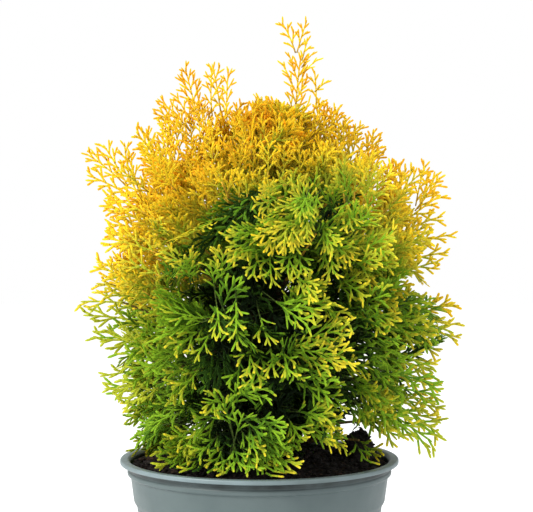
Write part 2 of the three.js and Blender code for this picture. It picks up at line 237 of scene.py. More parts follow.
def rounded(corners: Sequence[Triple], steps: int = 5) -> Array:
    """A profile with rounded corners: each corner is a quadratic curve between two points that
    lie its rounding away from it on its two sides.

    Args:
        corners: Radius, height and rounding of each corner. The first and last stay sharp.
        steps: The number of points on each rounding.

    Returns:
        The profile's points.
    """
    table = np.asarray(corners, float)
    here, rounding = table[:, :2], table[1:-1, 2:]
    middle = here[1:-1]
    before = middle + unit(here[:-2] - middle) * rounding
    after = middle + unit(here[2:] - middle) * rounding
    share = np.linspace(0, 1, steps)[None, :, None]
    first = lerp(before[:, None], middle[:, None], share)
    second = lerp(middle[:, None], after[:, None], share)
    curves = lerp(first, second, share).reshape(-1, 2)
    return np.concatenate([here[:1], curves, here[-1:]])


@dataclass(frozen=True)
class Arc:
    """A quadratic curve through space, from its start towards a bend and on to its end."""

    start: Array  # Where it starts
    bend: Array  # The point that it bends towards
    end: Array  # Where it ends

    def at(self, share: Array) -> Array:
        """Points at shares s: start (1-s)^2 + bend 2s(1-s) + end s^2."""
        s = np.asarray(share, float)[..., None]
        return self.start * (1 - s) ** 2 + self.bend * (2 * s * (1 - s)) + self.end * s**2

    def heading(self, share: Array) -> Array:
        """Unit tangents at shares: the slope of the formula above, brought to length 1."""
        s = np.asarray(share, float)[..., None]
        return unit((self.bend - self.start) * (1 - s) + (self.end - self.bend) * s)

    def rind(self, shares: Array, radii: Array, sides: int, relief: float = 0.0) -> Shape:
        """A tapered limb: a ring of points round the curve at each share, its radius scaled by
        ridges that run along it and wander as they go.

        Args:
            shares: Where the rings are.
            radii: Each ring's radius.
            sides: The number of points in a ring.
            relief: How far the ridges stand out, as a share of the radius.

        Returns:
            The closed limb.
        """
        centre, axis = self.at(shares), self.heading(shares)
        fixed = np.cross(self.bend - self.start, self.end - self.bend)
        across = unit(fixed) if np.linalg.norm(fixed) > 1e-6 else square_to(axis[0])
        turn = np.linspace(0, 2 * np.pi, sides, endpoint=False)
        place = np.stack(np.broadcast_arrays(turn[None], centre[:, 2, None]), axis=-1)
        waves = [(0.5, 5, 0.35, 0), (0.3, 9, -0.6, 2), (0.3, 4, 1.3, 4), (0.25, 13, 0.9, 1)]
        radius = radii[:, None] * (1 + relief * ripples(place, waves))
        other = np.cross(axis, across)
        way = across * np.cos(turn)[None, :, None] + other[:, None] * np.sin(turn)[None, :, None]
        rings = centre[:, None] + way * radius[..., None]
        return closed_rings(rings, centre[0], centre[-1])


# Finishes


class Sheet:
    """A node material while it is put together."""

    def __init__(self, name: str) -> None:
        """Starts a material with an empty principled surface.

        Args:
            name: The material's name.
        """
        self.material = bpy.data.materials.new(name)
        self.material.use_nodes = True
        self.tree = self.material.node_tree
        self.surface = self.tree.nodes["Principled BSDF"]
        self.place = self.node("TexCoord").outputs["Object"]

    def feed(self, node: bpy.types.Node, **inputs: object) -> None:
        """Links or sets a node's inputs, named with _ for a space.

        Args:
            node: The node.
            inputs: For each input the output that is linked to it, or its constant.
        """
        for key, value in inputs.items():
            target = node.inputs[key.replace("_", " ")]
            if isinstance(value, Socket):
                self.tree.links.new(value, target)
            else:
                target.default_value = value

    def node(self, kind: str, **inputs: object) -> bpy.types.Node:
        """Adds a node.

        Args:
            kind: Its type's name, without the start that all have.
            inputs: Its inputs.

        Returns:
            The node.
        """
        made = self.tree.nodes.new(f"ShaderNode{kind}")
        self.feed(made, **inputs)
        return made

    def set(self, **inputs: object) -> None:
        """Links or sets the surface's own inputs."""
        self.feed(self.surface, **inputs)

    def stretched(self, scale: Triple) -> Socket:
        """Object coordinates, scaled by axis."""
        return self.node("Mapping", Scale=scale, Vector=self.place).outputs["Vector"]

    def noise(self, scale: float, detail: float = 3, where: Socket | None = None) -> Socket:
        """The factor of noise with cells of 1/scale metres, at the object's or other coordinates."""
        made = self.node("TexNoise", Scale=scale, Detail=detail, Vector=where or self.place)
        return made.outputs["Fac"]

    def cells(self, scale: float) -> Socket:
        """The distance to the middle of cells of 1/scale metres."""
        return self.node("TexVoronoi", Scale=scale, Vector=self.place).outputs["Distance"]

    def ramp(self, source: Socket, stops: Sequence[tuple[float, Colour]]) -> Socket:
        """Colours by a factor.

        Args:
            source: The factor.
            stops: Places from 0 to 1 and the colour at each.

        Returns:
            The colour.
        """
        made = self.node("ValToRGB", Fac=source)
        elements = made.color_ramp.elements
        for index, (place, colour) in enumerate(stops):
            element = elements[index] if index < 2 else elements.new(place)
            element.position, element.color = place, (*colour, 1)
        return made.outputs["Color"]

    def ranged(self, source: Socket, old: Pair, new: Pair) -> Socket:
        """A value brought from one range to another.

        Args:
            source: The value.
            old: The range's two ends.
            new: What they become.

        Returns:
            The new value.
        """
        made = self.node("MapRange", Value=source, From_Min=old[0], From_Max=old[1])
        self.feed(made, To_Min=new[0], To_Max=new[1])
        return made.outputs["Result"]

    def spread(self, source: Socket, low: float, high: float) -> Socket:
        """A factor whose middle part is brought to the range from low to high."""
        return self.ranged(source, (0.3, 0.7), (low, high))

    def height(self, low: float, high: float) -> Socket:
        """A factor that rises from 0 to 1 between two heights in metres."""
        parts = self.node("SeparateXYZ", Vector=self.place)
        return self.ranged(parts.outputs["Z"], (low, high), (0, 1))

    def mixed(self, under: Socket, over: Socket, share: Socket) -> Socket:
        """Two colours mixed by a factor.

        Args:
            under: The colour where the factor is 0.
            over: The colour where it is 1.
            share: The factor.

        Returns:
            The mixed colour.
        """
        made = self.node("Mix")
        made.data_type = "RGBA"
        for index, source in ((0, share), (6, under), (7, over)):
            self.tree.links.new(source, made.inputs[index])
        return made.outputs[2]

    def relief(self, *heights: tuple[Socket, float, float]) -> None:
        """Bumps on the surface, one on the other.

        Args:
            heights: For each bump its height, its strength and how high 1 is in millimetres.
        """
        under = {}
        for height, strength, size in heights:
            bump = self.node("Bump", Strength=strength, Distance=size * MILLIMETRE, Height=height)
            self.feed(bump, **under)
            under = {"Normal": bump.outputs["Normal"]}
        self.set(**under)


@dataclass(frozen=True)
class PotPlastic:
    """Blue-grey moulded plastic with a faint bloom and fine grain, with a painted highlight that makes
    the lip pale, as if lit from above, and a painted shadow that darkens the wall right under the lip."""

    base: Colour = (0.088, 0.117, 0.118)  # The plain colour
    bloom: Colour = (0.118, 0.150, 0.150)  # The colour of the bloom
    lip: Colour = (0.205, 0.257, 0.272)  # The pale colour on the lip, a painted highlight from light falling on it from above
    lip_shadow: Colour = (0.014, 0.022, 0.022)  # The dark colour right under the lip, a painted shadow

    def material(self) -> bpy.types.Material:
        """Builds its nodes.

        Returns:
            The finished material.
        """
        sheet = Sheet("pot_plastic")
        cloudy = sheet.noise(28, 4)
        colour = sheet.ramp(cloudy, [(0.3, self.base), (0.72, self.bloom)])
        # Painted highlight: the lip is paler, standing in for light that falls on it from above.
        painted_highlight = sheet.ramp(cloudy, [(0.3, self.bloom), (0.72, self.lip)])
        # Painted shadow: a dark band on the wall right under the lip, mixed in by height.
        painted_shadow = sheet.ramp(sheet.noise(60, 3), [(0.3, self.lip_shadow), (0.8, self.base)])
        wall = sheet.mixed(colour, painted_shadow, sheet.height(0.1228, 0.1248))
        mixed = sheet.mixed(wall, painted_highlight, sheet.height(0.12715, 0.12745))
        sheet.set(Base_Color=mixed, Roughness=sheet.spread(sheet.noise(60, 5), 0.36, 0.5))
        drawn = sheet.noise(900, 2, sheet.stretched((1, 1, 0.08)))
        sheet.relief((sheet.noise(2600, 2), 0.25, 0.05), (drawn, 0.12, 0.05))
        sheet.set(IOR=1.49)
        return sheet.material


@dataclass(frozen=True)
class PottingMixFinish:
    """Damp peat with bark crumbs: near black, with brown fibres."""

    name: str  # The material's name
    dark: Colour  # The damp colour
    light: Colour  # The colour of the drier fibres

    def material(self) -> bpy.types.Material:
        """Builds its nodes.

        Returns:
            The finished material.
        """
        sheet = Sheet(self.name)
        fibres = sheet.noise(700, 5)
        colour = sheet.ramp(fibres, [(0.38, self.dark), (0.75, self.light)])
        sheet.set(Base_Color=colour, Roughness=sheet.spread(sheet.noise(300, 3), 0.7, 0.95))
        sheet.relief((sheet.noise(420, 5), 0.7, 1.2), (sheet.noise(1900, 3), 0.5, 0.4))
        return sheet.material


@dataclass(frozen=True)
class Bark:
    """Thin fibrous bark."""

    name: str  # The material's name
    furrow: Colour  # The colour between the ridges
    ridge: Colour  # The colour on them

    def material(self) -> bpy.types.Material:
        """Builds its nodes.

        Returns:
            The finished material.
        """
        sheet = Sheet(self.name)
        fibres = sheet.noise(900, 6, sheet.stretched((1, 1, 0.16)))
        colour = sheet.ramp(fibres, [(0.36, self.furrow), (0.66, self.ridge)])
        sheet.set(Base_Color=colour, Roughness=sheet.spread(sheet.noise(400, 3), 0.6, 0.85))
        sheet.relief((fibres, 0.8, 0.5), (sheet.noise(2200, 2), 0.3, 0.15))
        sheet.set(Specular_IOR_Level=0.2)
        return sheet.material


@dataclass(frozen=True)
class ScaleLeaf:
    """Soft satin scale leaves of one tint."""

    name: str  # The tint's name
    colour: Colour  # The tint
    slot: str  # The record's slot that it belongs to
    glow: float = 0.3  # How much of the light passes through the thin scales

    def material(self) -> bpy.types.Material:
        """Builds its nodes: the tint, with overlapping scales in its relief.

        Returns:
            The finished material.
        """
        sheet = Sheet(f"scale_leaf_{self.name}")
        sheet.set(Base_Color=(*self.colour, 1), Specular_IOR_Level=0.15)
        sheet.set(Subsurface_Weight=self.glow, Subsurface_Radius=(1, 0.8, 0.2))
        sheet.set(Subsurface_Scale=5 * self.glow * MILLIMETRE)
        satin = sheet.spread(sheet.noise(500, 3), 0.5, 0.75)
        sheet.set(Roughness=satin)
        sheet.relief((sheet.cells(560), 0.9, 0.5), (sheet.noise(1700, 2), 0.4, 0.15))
        return sheet.material


class Tint(Enum):
    """The foliage's tints, from the deepest shade to the sunniest tips; SHADE and DEEP are near-black
    tints that paint the shade inside the crown.
    """

    # Painted shade: near-black tints for the dark inside of the crown.
    SHADE = ScaleLeaf("shade", (0.005, 0.015, 0.002), "foliage_green")
    DEEP = ScaleLeaf("deep", (0.025, 0.066, 0.006), "foliage_green")
    LEAF = ScaleLeaf("leaf", (0.098, 0.198, 0.013), "foliage_green")
    FRESH = ScaleLeaf("fresh", (0.205, 0.340, 0.022), "foliage_green")
    LIME = ScaleLeaf("lime", (0.350, 0.388, 0.030), "foliage_lime")
    CITRON = ScaleLeaf("citron", (0.52, 0.445, 0.034), "foliage_lime", 0.4)
    YELLOW = ScaleLeaf("yellow", (0.68, 0.475, 0.024), "foliage_amber", 0.45)
    GOLD = ScaleLeaf("gold", (0.70, 0.42, 0.018), "foliage_amber", 0.45)
    AMBER = ScaleLeaf("amber", (0.68, 0.325, 0.012), "foliage_amber", 0.45)


TINTS = list(Tint)
FOLIAGE_SLOTS = ("foliage_green", "foliage_lime", "foliage_amber")


def dressed(piece: bpy.types.Object, slot: str, *nodes: str) -> None:
    """Puts a piece on the plant.

    Args:
        piece: The object.
        slot: A slot name from the record; not used.
        nodes: The solids that it stands for.
    """
    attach(piece, "root")
    if nodes:
        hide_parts(*nodes)
    log.info("%s: %d faces for %s", piece.name, len(piece.data.polygons), nodes or "no solid")


# Pot and soil


@dataclass
class NurseryPot:
    """A tapered pot with a rounded lip, a bead and a stepped collar, and drains in its base."""

    # The lip and the neck under it.
    height: float = 130.0
    lip_radius: float = 85.0
    lip_width: float = 4.8
    lip_thickness: float = 2.6
    neck_radius: float = 80.0

    # Corners (radius, height, rounding): the base's edge, the wall up to its step and collar, and
    # the bead on the collar.
    base_edge: tuple[Triple, ...] = ((58.5, 0, 1), (60.5, 0.9, 0.6), (62, 2.4, 0.8))
    collar: tuple[Triple, ...] = ((74.8, 101.6, 0.8), (76.6, 104.6, 1.0), (78.6, 119.6, 0.5))
    bead: tuple[Triple, ...] = ((80.6, 121, 0.6), (80.6, 123, 0.6))
    wall: float = 1.4
    floor: float = 2.4

    # The drains, on a circle in the base, and the pot's faces round its axis.
    drains: int = 8
    drain_radius: float = 4.5
    drain_circle: float = 46.0
    sides: int = 144

    def profile(self) -> Array:
        """Corners (radius, height, rounding) up the outside, over the lip and down the inside.

        Returns:
            The rounded profile.
        """
        top, neck, lip = self.height, self.neck_radius, self.lip_radius
        under = top - self.lip_thickness
        outside = [
            (0, 0, 0), *self.base_edge, *self.collar, *self.bead,
            (neck, 123.9, 0.3), (neck + 0.9, under - 0.9, 0.6), (lip, under, 0.7), (lip, top, 1.1),
        ]
        inner, foot = neck - self.wall, self.base_edge[-1][0] - self.wall
        inside = [
            (lip - self.lip_width, top, 1.0), (inner, top - 1.8, 0.6), (inner, 122, 1.0),
            *((radius - self.wall, height, bend) for radius, height, bend in self.collar[::-1]),
            (foot, self.floor, 1.2), (0, self.floor, 0),
        ]
        return rounded(outside + inside)

    def cutters(self) -> Shape:
        """The drain holes, as one shape of upright cylinders.

        Returns:
            The shape that is cut out of the base.
        """
        reach, radius = 4.0, self.drain_radius
        column = np.array([[0, -reach], [radius, -reach], [radius, reach], [0, reach]])
        hole = lathed(column, 24)
        turns = 2 * np.pi * np.arange(self.drains) / self.drains
        moves = self.drain_circle * np.stack([np.cos(turns), np.sin(turns), np.zeros(self.drains)], 1)
        return Shape.joined([Shape(hole.points + move, hole.triangles) for move in moves])

    def build(self) -> None:
        """Makes the pot and cuts its drains."""
        plastic = PotPlastic().material()
        pot = lathed(self.profile(), self.sides).piece("nursery_pot", plastic)
        cutter = self.cutters().piece("drain_cutter", plastic)
        cut = pot.modifiers.new("drains", "BOOLEAN")
        cut.object, cut.operation, cut.solver = cutter, "DIFFERENCE", "EXACT"
        whole = pot.evaluated_get(bpy.context.evaluated_depsgraph_get())
        pierced = bpy.data.meshes.new_from_object(whole)
        pot.modifiers.clear()
        pot.data = pierced
        bpy.data.objects.remove(cutter)
        dressed(pot, "pot", "pot")


@dataclass
class PottingMix:
    """Peat that fills the pot: a mounded, lumpy top with crumbs of bark and one large clod."""

    # The top's height at its edge and its radius, and the mound's height above the edge.
    edge: float = 126.0
    radius: float = 78.3
    mound: float = 1.6

    # The sides (radius, height), a hair inside the pot's, from the floor up.
    wall: Table = ((60.2, 2.7), (73.1, 101.6), (74.9, 104.6), (76.9, 119.6))

    # The clod's x, y, height and spread, the number of crumbs, the bare edge that they leave, the
    # power that makes most of them small, how high they lie as a share of their size, and the grid
    # of the top.
    clod: Four = (63.0, 20.0, 14.0, 11.0)
    crumbs: int = 2600
    bare_edge: float = 1.5
    crowding: float = 2.2
    lying: float = 0.12
    rings: int = 80
    sides: int = 220

    # Lumps, and the shares of the radius over which they fade out at the edge and calm down in
    # the middle, and over which the mound rises.
    fade: float = 0.08
    calm: float = 0.1
    rise: float = 0.45
    waves: tuple[Four, ...] = (
        (0.7, 0.21, 0.05, 1.0), (0.6, -0.08, 0.19, 2.0), (0.45, 0.43, 0.31, 4.0),
        (0.4, -0.37, 0.52, 0.5), (0.3, 0.9, -0.6, 3.0), (0.25, 0.7, 1.1, 5.0),
        (0.16, 1.9, 0.8, 1.5), (0.16, -1.1, 1.8, 2.5),
    )

    def top(self, places: Array) -> Array:
        """The soil's height: a mound, waves of lumps and the clod, a heap that falls off with the
        fourth power of the distance, all fading out at the edge.

        Args:
            places: x and y, in the last axis.

        Returns:
            The height at each place.
        """
        share = np.clip(np.linalg.norm(places, axis=-1) / self.radius, 0, 1)
        x, y, height, spread = self.clod
        away = np.linalg.norm(places - [x, y], axis=-1) / spread
        shaped = np.exp(-(away**4)) * (1 + 0.1 * ripples(places * 1.7, self.waves))
        fade = np.clip((1 - share) / self.fade, 0, 1)
        lumps = ripples(places, self.waves) * np.clip((share - self.calm) / self.calm, 0.15, 1)
        mound = self.mound * np.clip((1 - share) / self.rise, 0, 1)
        return self.edge + mound + fade * (lumps + height * shaped)

    def surface(self) -> Shape:
        """The filled solid: the lumpy top as rings from the wall to the middle.

        Returns:
            The closed shape.
        """
        turn = np.linspace(0, 2 * np.pi, self.sides, endpoint=False)
        way = np.stack([np.cos(turn), np.sin(turn)], 1)
        share = np.linspace(1, 0.01, self.rings)[:, None, None]
        places = self.radius * share * way
        top = np.concatenate([places, self.top(places)[..., None]], axis=-1)
        wall = np.array(self.wall)
        below = np.empty((len(wall), self.sides, 3))
        below[..., :2] = wall[:, None, :1] * way
        below[..., 2] = wall[:, 1:]
        foot = np.array([0, 0, wall[0, 1]])
        middle = np.array([0, 0, float(self.top(np.zeros((1, 2)))[0])])
        return closed_rings(np.concatenate([below, top]), foot, middle)

    def crumb_field(self, first: int, count: int, least: float, most: float) -> Shape:
        """Crumbs strewn on the top, most of them small: balls of 24 faces, each dented, stretched,
        turned its own way and sunk by about a third.

        Args:
            first: The first crumb's seed.
            count: How many.
            least: The smallest size.
            most: The largest size.

        Returns:
            The crumbs, as one shape.
        """
        seed = first + np.arange(count, dtype=float)
        ball = np.array([[1, 0, 0], [0, 1, 0], [-1, 0, 0], [0, -1, 0], [0, 0, 1], [0, 0, -1.0]])
        corners = np.concatenate([ball, unit(np.array(
            [[x, y, z] for x in (-1, 1) for y in (-1, 1) for z in (-1, 1)], float))])
        faces = []
        for index, corner in enumerate(corners[6:], start=6):
            near = [int(np.argmax(ball[:, axis] * corner[axis])) for axis in range(3)]
            for a, b in ((0, 1), (1, 2), (2, 0)):
                normal = np.cross(ball[near[b]] - ball[near[a]], corner - ball[near[a]])
                pair = (near[a], near[b]) if normal @ corner > 0 else (near[b], near[a])
                faces.append((*pair, index))
        size = least * (most / least) ** (chance(seed, 1) ** self.crowding)
        reach = (self.radius - self.bare_edge) * np.sqrt(chance(seed, 2))
        turn = 2 * np.pi * chance(seed, 3)
        place = np.stack([reach * np.cos(turn), reach * np.sin(turn)], 1)
        dents = 0.7 + 0.6 * chance(seed[:, None], 10 + np.arange(len(corners)))
        stretch = [1 + chance(seed, 4), 0.6 + 0.5 * chance(seed, 5), 0.45 + 0.3 * chance(seed, 6)]
        grain = corners[None] * dents[..., None] * np.stack(stretch, 1)[:, None]
        axis = unit(np.stack([swing(seed, k) for k in (7, 8, 9)], 1))
        across = square_to(axis)
        basis = np.stack([across, np.cross(axis, across), axis], axis=1)
        points = np.einsum("nij,njk->nik", grain * (0.5 * size)[:, None, None], basis)
        centre = np.concatenate([place, (self.top(place) + self.lying * size)[:, None]], 1)
        indices = np.array(faces)[None] + len(corners) * np.arange(count)[:, None, None]
        return Shape((points + centre[:, None]).reshape(-1, 3), indices.reshape(-1, 3))

    def build(self) -> None:
        """Makes the soil, its crumbs and a few bark chips."""
        peat = PottingMixFinish("damp_peat", (0.004, 0.0025, 0.002), (0.026, 0.014, 0.009))
        chip = PottingMixFinish("bark_chips", (0.016, 0.008, 0.005), (0.085, 0.042, 0.022))
        dressed(self.surface().piece("potting_mix", peat.material()), "soil", "soil")
        crumbs = self.crumb_field(1, self.crumbs, 0.9, 4.5)
        dressed(crumbs.piece("peat_crumbs", peat.material()), "soil")
        chips = self.crumb_field(5001, self.crumbs // 5, 1.2, 4.2)
        dressed(chips.piece("bark_chips", chip.material()), "soil")


# The plant's plan


@dataclass(frozen=True)
class Tier:
    """A ring of limbs, as the solids have it."""

    name: str  # The tier's name in the solids' names
    count: int  # The number of limbs
    turn: float  # The first limb's azimuth in degrees
    fork: Pair  # The heights where the lowest and highest limb leave the trunk
    tip: float  # The height of the limbs' tips
    sides: float = 0.0  # How much higher those to the left and right go


@dataclass
class Crown:
    """The crown's outline and the plan of its limbs, by the solids' rule."""

    # How far the crown reaches to the left and right by height, and how far its close foliage does.
    left: Table = (
        (128, 72), (140, 82), (178, 100), (200, 102), (222, 115), (246, 100),
        (280, 98), (323, 110), (338, 84), (352, 68), (370, 51),
    )
    right: Table = (
        (128, 80), (143, 114), (160, 106), (178, 110), (196, 107), (214, 126),
        (238, 112), (268, 120), (300, 118), (312, 101), (325, 78), (345, 56), (366, 43),
    )
    dense_left: Table = (
        (134, 54), (146, 68), (165, 80), (195, 90), (226, 94), (240, 90), (263, 88), (287, 84),
        (300, 71), (318, 52), (334, 34), (343, 16), (350, 4),
    )
    dense_right: Table = (
        (134, 76), (146, 90), (183, 98), (207, 112), (226, 111), (240, 105), (257, 106), (275, 102),
        (287, 92), (300, 80), (318, 66), (331, 58), (340, 42), (346, 24), (350, 10), (353, 4),
    )

    # How steeply shoots point outwards, in degrees by height, and the tiers from the soil up.
    rise: Table = ((132, -16), (160, -4), (200, 10), (250, 22), (300, 42), (345, 68), (400, 84))
    tiers: tuple[Tier, ...] = (
        Tier("skirt", 6, -36, (134, 146), 147),
        Tier("low", 5, 0, (150, 166), 184),
        Tier("middle", 5, 180, (171, 192), 224),
        Tier("upper", 5, 0, (198, 228), 268),
        Tier("high", 5, 180, (236, 266), 308, 8),
        Tier("top", 4, -10, (280, 306), 336, 18),
    )

    # How far limbs turn and rise out of line, the share of the crown's reach at their tips and of
    # their length beyond their bend, where the heart of their mass lies, and where their bough
    # ends at least. Tiers above a height have no boughs, masses lie apart by the gap, and no
    # close foliage hangs below the lowest leaf.
    turn_jitter: float = 6.0
    height_jitter: float = 4.0
    tip_share: float = 0.8
    straight_share: float = 0.4
    heart_at: float = 0.72
    shortest_bough: float = 0.34
    leafy_above: float = 230.0
    gap: float = 0.3
    lowest_leaf: float = 131.2

    # The trunk's line, and the heart of the leader's mass.
    trunk: Arc = field(default_factory=lambda: Arc(
        np.array([4, 0, 127.9]), np.array([4, 0, 235.95]), np.array([20, 0, 344.0])))
    crotch: Array = field(default_factory=lambda: np.array([19.0, 0, 372]))

    def reach(self, azimuth: Array, height: Array) -> Array:
        """How far the crown reaches at azimuths in radians and heights."""
        return self.around(along(self.left, height), along(self.right, height), azimuth)

    def around(self, left: Array, right: Array, azimuth: Array) -> Array:
        """The reach at azimuths: the left or right one at the sides, their mean in front and behind."""
        side = np.cos(azimuth)
        return lerp((left + right) / 2, np.where(side > 0, right, left), side**2)

    def depth(self, points: Array) -> Array:
        """How far points are inside the close foliage's outline.

        Args:
            points: The points.

        Returns:
            The distances, below 0 outside it.
        """
        x, y, height = points[..., 0], points[..., 1], points[..., 2]
        left, right = along(self.dense_left, height), along(self.dense_right, height)
        return self.around(left, right, np.arctan2(y, x)) - np.hypot(x, y)

    def holds(self, points: Array, spare: float = 0.0) -> Array:
        """Whether points are above the pot and in the close foliage, with millimetres to spare."""
        return (self.depth(points) > -spare) & (points[..., 2] > self.lowest_leaf)

    def outward(self, azimuth: Array, height: Array) -> Array:
        """The directions in which shoots point.

        Args:
            azimuth: Angles round the pot's axis, in radians.
            height: Heights.

        Returns:
            The direction at each azimuth and height.
        """
        rise = np.radians(along(self.rise, height))
        level = np.cos(rise)
        return np.stack([np.cos(azimuth) * level, np.sin(azimuth) * level, np.sin(rise)], axis=-1)

    def limbs(self) -> list["Limb"]:
        """Plans the limbs, each an arc from the trunk to its tip. Every second limb of a tier
        leaves the trunk higher up than the last.

        Returns:
            The limbs of all tiers.
        """
        limbs: list[Limb] = []
        foot, top = self.trunk.start[2], self.trunk.end[2]
        for tier in self.tiers:
            for i in range(tier.count):
                seed = len(limbs) + 1
                turn = tier.turn + 360 * i / tier.count + self.turn_jitter * swing(seed, 1)
                azimuth = float(np.radians(turn))
                lift = tier.sides * np.cos(azimuth) ** 2 + self.height_jitter * swing(seed, 2)
                reach = self.tip_share * float(self.reach(azimuth, tier.tip + lift))
                across = np.array([np.cos(azimuth), np.sin(azimuth)]) * reach
                tip = np.array([*across, tier.tip + float(lift)])
                height = lerp(*tier.fork, ((2 * i) % tier.count) / (tier.count - 1))
                fork = self.trunk.at(np.array((height - foot) / (top - foot)))
                straight = self.straight_share * np.linalg.norm(tip - fork)
                bend = tip - self.outward(azimuth, tip[2]) * straight
                path = Arc(fork, bend, tip)
                leafy = tier.fork[0] > self.leafy_above
                limbs.append(Limb(f"{tier.name}_{i + 1}", seed, path, leafy))
        hearts = np.array([limb.path.at(self.heart_at) for limb in limbs] + [self.crotch])
        for limb, heart in zip(limbs, hearts):
            others = hearts[np.any(hearts != heart, axis=1)]
            limb.across = unit(others - heart)
            limb.limits = np.sum((others + heart) / 2 * limb.across, axis=1) - self.gap
            places = np.linspace(1, self.shortest_bough, 21)
            inside = np.all(limb.path.at(places) @ limb.across.T < limb.limits, axis=1)
            outside = -1 if inside.all() else np.argmin(inside)
            limb.bough_end = float(places[outside])
        return limbs


@dataclass
class Limb:
    """One limb: a bare bough that goes on as a leafy stem.

    Attributes:
        name: The end of its solids' names.
        seed: Its number, from 1.
        path: Its line, from the trunk to its tip.
        leafy: Whether it is leafy from the trunk on, without a bare bough.
        bough_end: Where on it the bough ends.
        across: The directions of the walls of its mass's space.
        limits: How far out those walls are.
    """

    name: str
    seed: int
    path: Arc
    leafy: bool
    bough_end: float = 0.0
    across: Array = field(default_factory=lambda: np.zeros((0, 3)))
    limits: Array = field(default_factory=lambda: np.zeros(0))


# Trunk and boughs


@dataclass
class Woodwork:
    """The trunk, the bare boughs and the leafy stems that run on from them."""

    crown: Crown
    limbs: list[Limb]

    # The trunk's radius at its foot and top, and the flare that widens its foot.
    trunk_radius: Pair = (4.6, 1.2)
    flare_width: float = 3.4
    flare_height: float = 5.0

    # Radii of a bough where it leaves the trunk, of a stem on it and of one from the trunk, and at
    # the limb's tip.
    bough_radius: float = 2.0
    stem_radius: float = 1.1
    slim_radius: float = 0.8
    tip_radius: float = 0.4

    # Where a stem ends at most, the foliage that has to lie outside it by height, and how many
    # limbs, from the lowest, have green stems.
    stem_end: float = 0.93
    least_cover: Table = ((150, 16.0), (170, 4.0))
    green_limbs: int = 16

    def trunk(self) -> Shape:
        """The trunk: a straight taper with an exponential flare at the foot, under ridged bark.

        Returns:
            The closed shape.
        """
        shares = np.concatenate([np.linspace(0, 0.08, 40), np.linspace(0.084, 1, 200)])
        rise = shares * (self.crown.trunk.end[2] - self.crown.trunk.start[2])
        radii = lerp(*self.trunk_radius, shares)
        radii = radii + self.flare_width * np.exp(-rise / self.flare_height)
        return self.crown.trunk.rind(shares, radii, 36, relief=0.07)

    def bough(self, limb: Limb) -> Shape:
        """A bough: a limb from just inside the trunk's bark to where its mass begins.

        Args:
            limb: The limb.

        Returns:
            The closed shape.
        """
        shares = np.linspace(0.0, limb.bough_end, 30)
        radii = lerp(self.bough_radius, self.stem_radius, shares)
        return limb.path.rind(shares, radii, 12, relief=0.08)

    def stem(self, limb: Limb) -> Shape:
        """The leafy part of a limb, from its bough's end, or from the trunk, towards its tip.

        Args:
            limb: The limb.

        Returns:
            The closed shape.
        """
        start = 0.0 if limb.leafy else limb.bough_end
        shares = np.linspace(start, self.stem_end, 24)
        line = limb.path.at(shares)
        covered = self.crown.depth(line) > along(self.least_cover, line[:, 2])
        shares = np.linspace(start, shares[covered].max(), 24)
        wide = self.slim_radius if limb.leafy else self.stem_radius
        radii = lerp(wide, self.tip_radius, (shares - start) / (1 - start))
        return limb.path.rind(shares, radii, 8, relief=0.05)

    def build(self) -> None:
        """Makes the wood in its three finishes."""
        bark = Bark("trunk_bark", (0.022, 0.012, 0.007), (0.10, 0.058, 0.032))
        young = Bark("young_bark", (0.05, 0.04, 0.012), (0.2, 0.14, 0.035))
        golden = Bark("golden_bark", (0.42, 0.25, 0.03), (0.66, 0.44, 0.06))
        boughs = [limb for limb in self.limbs if not limb.leafy]
        dressed(self.trunk().piece("trunk_bark", bark.material()), "bark", "trunk")
        shape = Shape.joined([self.bough(limb) for limb in boughs])
        names = [f"bough_{limb.name}" for limb in boughs]
        dressed(shape.piece("bough_bark", bark.material()), "bark", *names)
        for name, finish, lofty in (("low", young, False), ("high", golden, True)):
            stems = [self.stem(limb) for limb in self.limbs if (limb.seed > self.green_limbs) == lofty]
            dressed(Shape.joined(stems).piece(f"{name}_stems", finish.material()), "bark")


# Shoots that the photograph shows


@dataclass(frozen=True)
class View:
    """The photograph's camera, which is level and looks along +Y."""

    eye: Triple = (4.3, -779.0, 253.0)  # Where it is
    focus: float = 1269.0  # How far its picture lies behind the lens, in pixels
    middle: Pair = (266.5, 256.0)  # The column and row of the photograph's middle

    def points(self, pixels: Array, y: Array) -> Array:
        """The points that pixels show.

        Args:
            pixels: Columns and rows.
            y: How far back each point lies.

        Returns:
            The points.
        """
        scale = (y - self.eye[1]) / self.focus
        x = self.eye[0] + (pixels[:, 0] - self.middle[0]) * scale
        z = self.eye[2] - (pixels[:, 1] - self.middle[1]) * scale
        return np.stack([x, y, z], axis=1)


@dataclass(frozen=True)
class Reading:
    """Shoots read off the photograph. A shoot's depth doesn't show there: it is set so that
    the shoot lies on the crown's round front or spreads to its side.

    Attributes:
        follow: The root's y as a share of the tip's.
        slope: How much further back the root is for each pixel between the two.
        behind: How much further back it is besides.
        rows: For each shoot its tip's column and row, its root's column and row, and its tip's y.
    """

    follow: float
    slope: float
    behind: float
    rows: tuple[tuple[float, ...], ...]

    def shoots(self, view: View) -> Array:
        """Places in whole millimetres.

        Args:
            view: The camera.

        Returns:
            For each shoot the x, y and z of its root and of its tip.
        """
        table = np.array(self.rows, float)
        tip, root, y = table[:, :2], table[:, 2:4], table[:, 4]
        apart = np.hypot(*(tip - root).T)
        foot = self.follow * y + self.slope * apart + self.behind
        return np.round(np.concatenate([view.points(root, foot), view.points(tip, y)], axis=1))


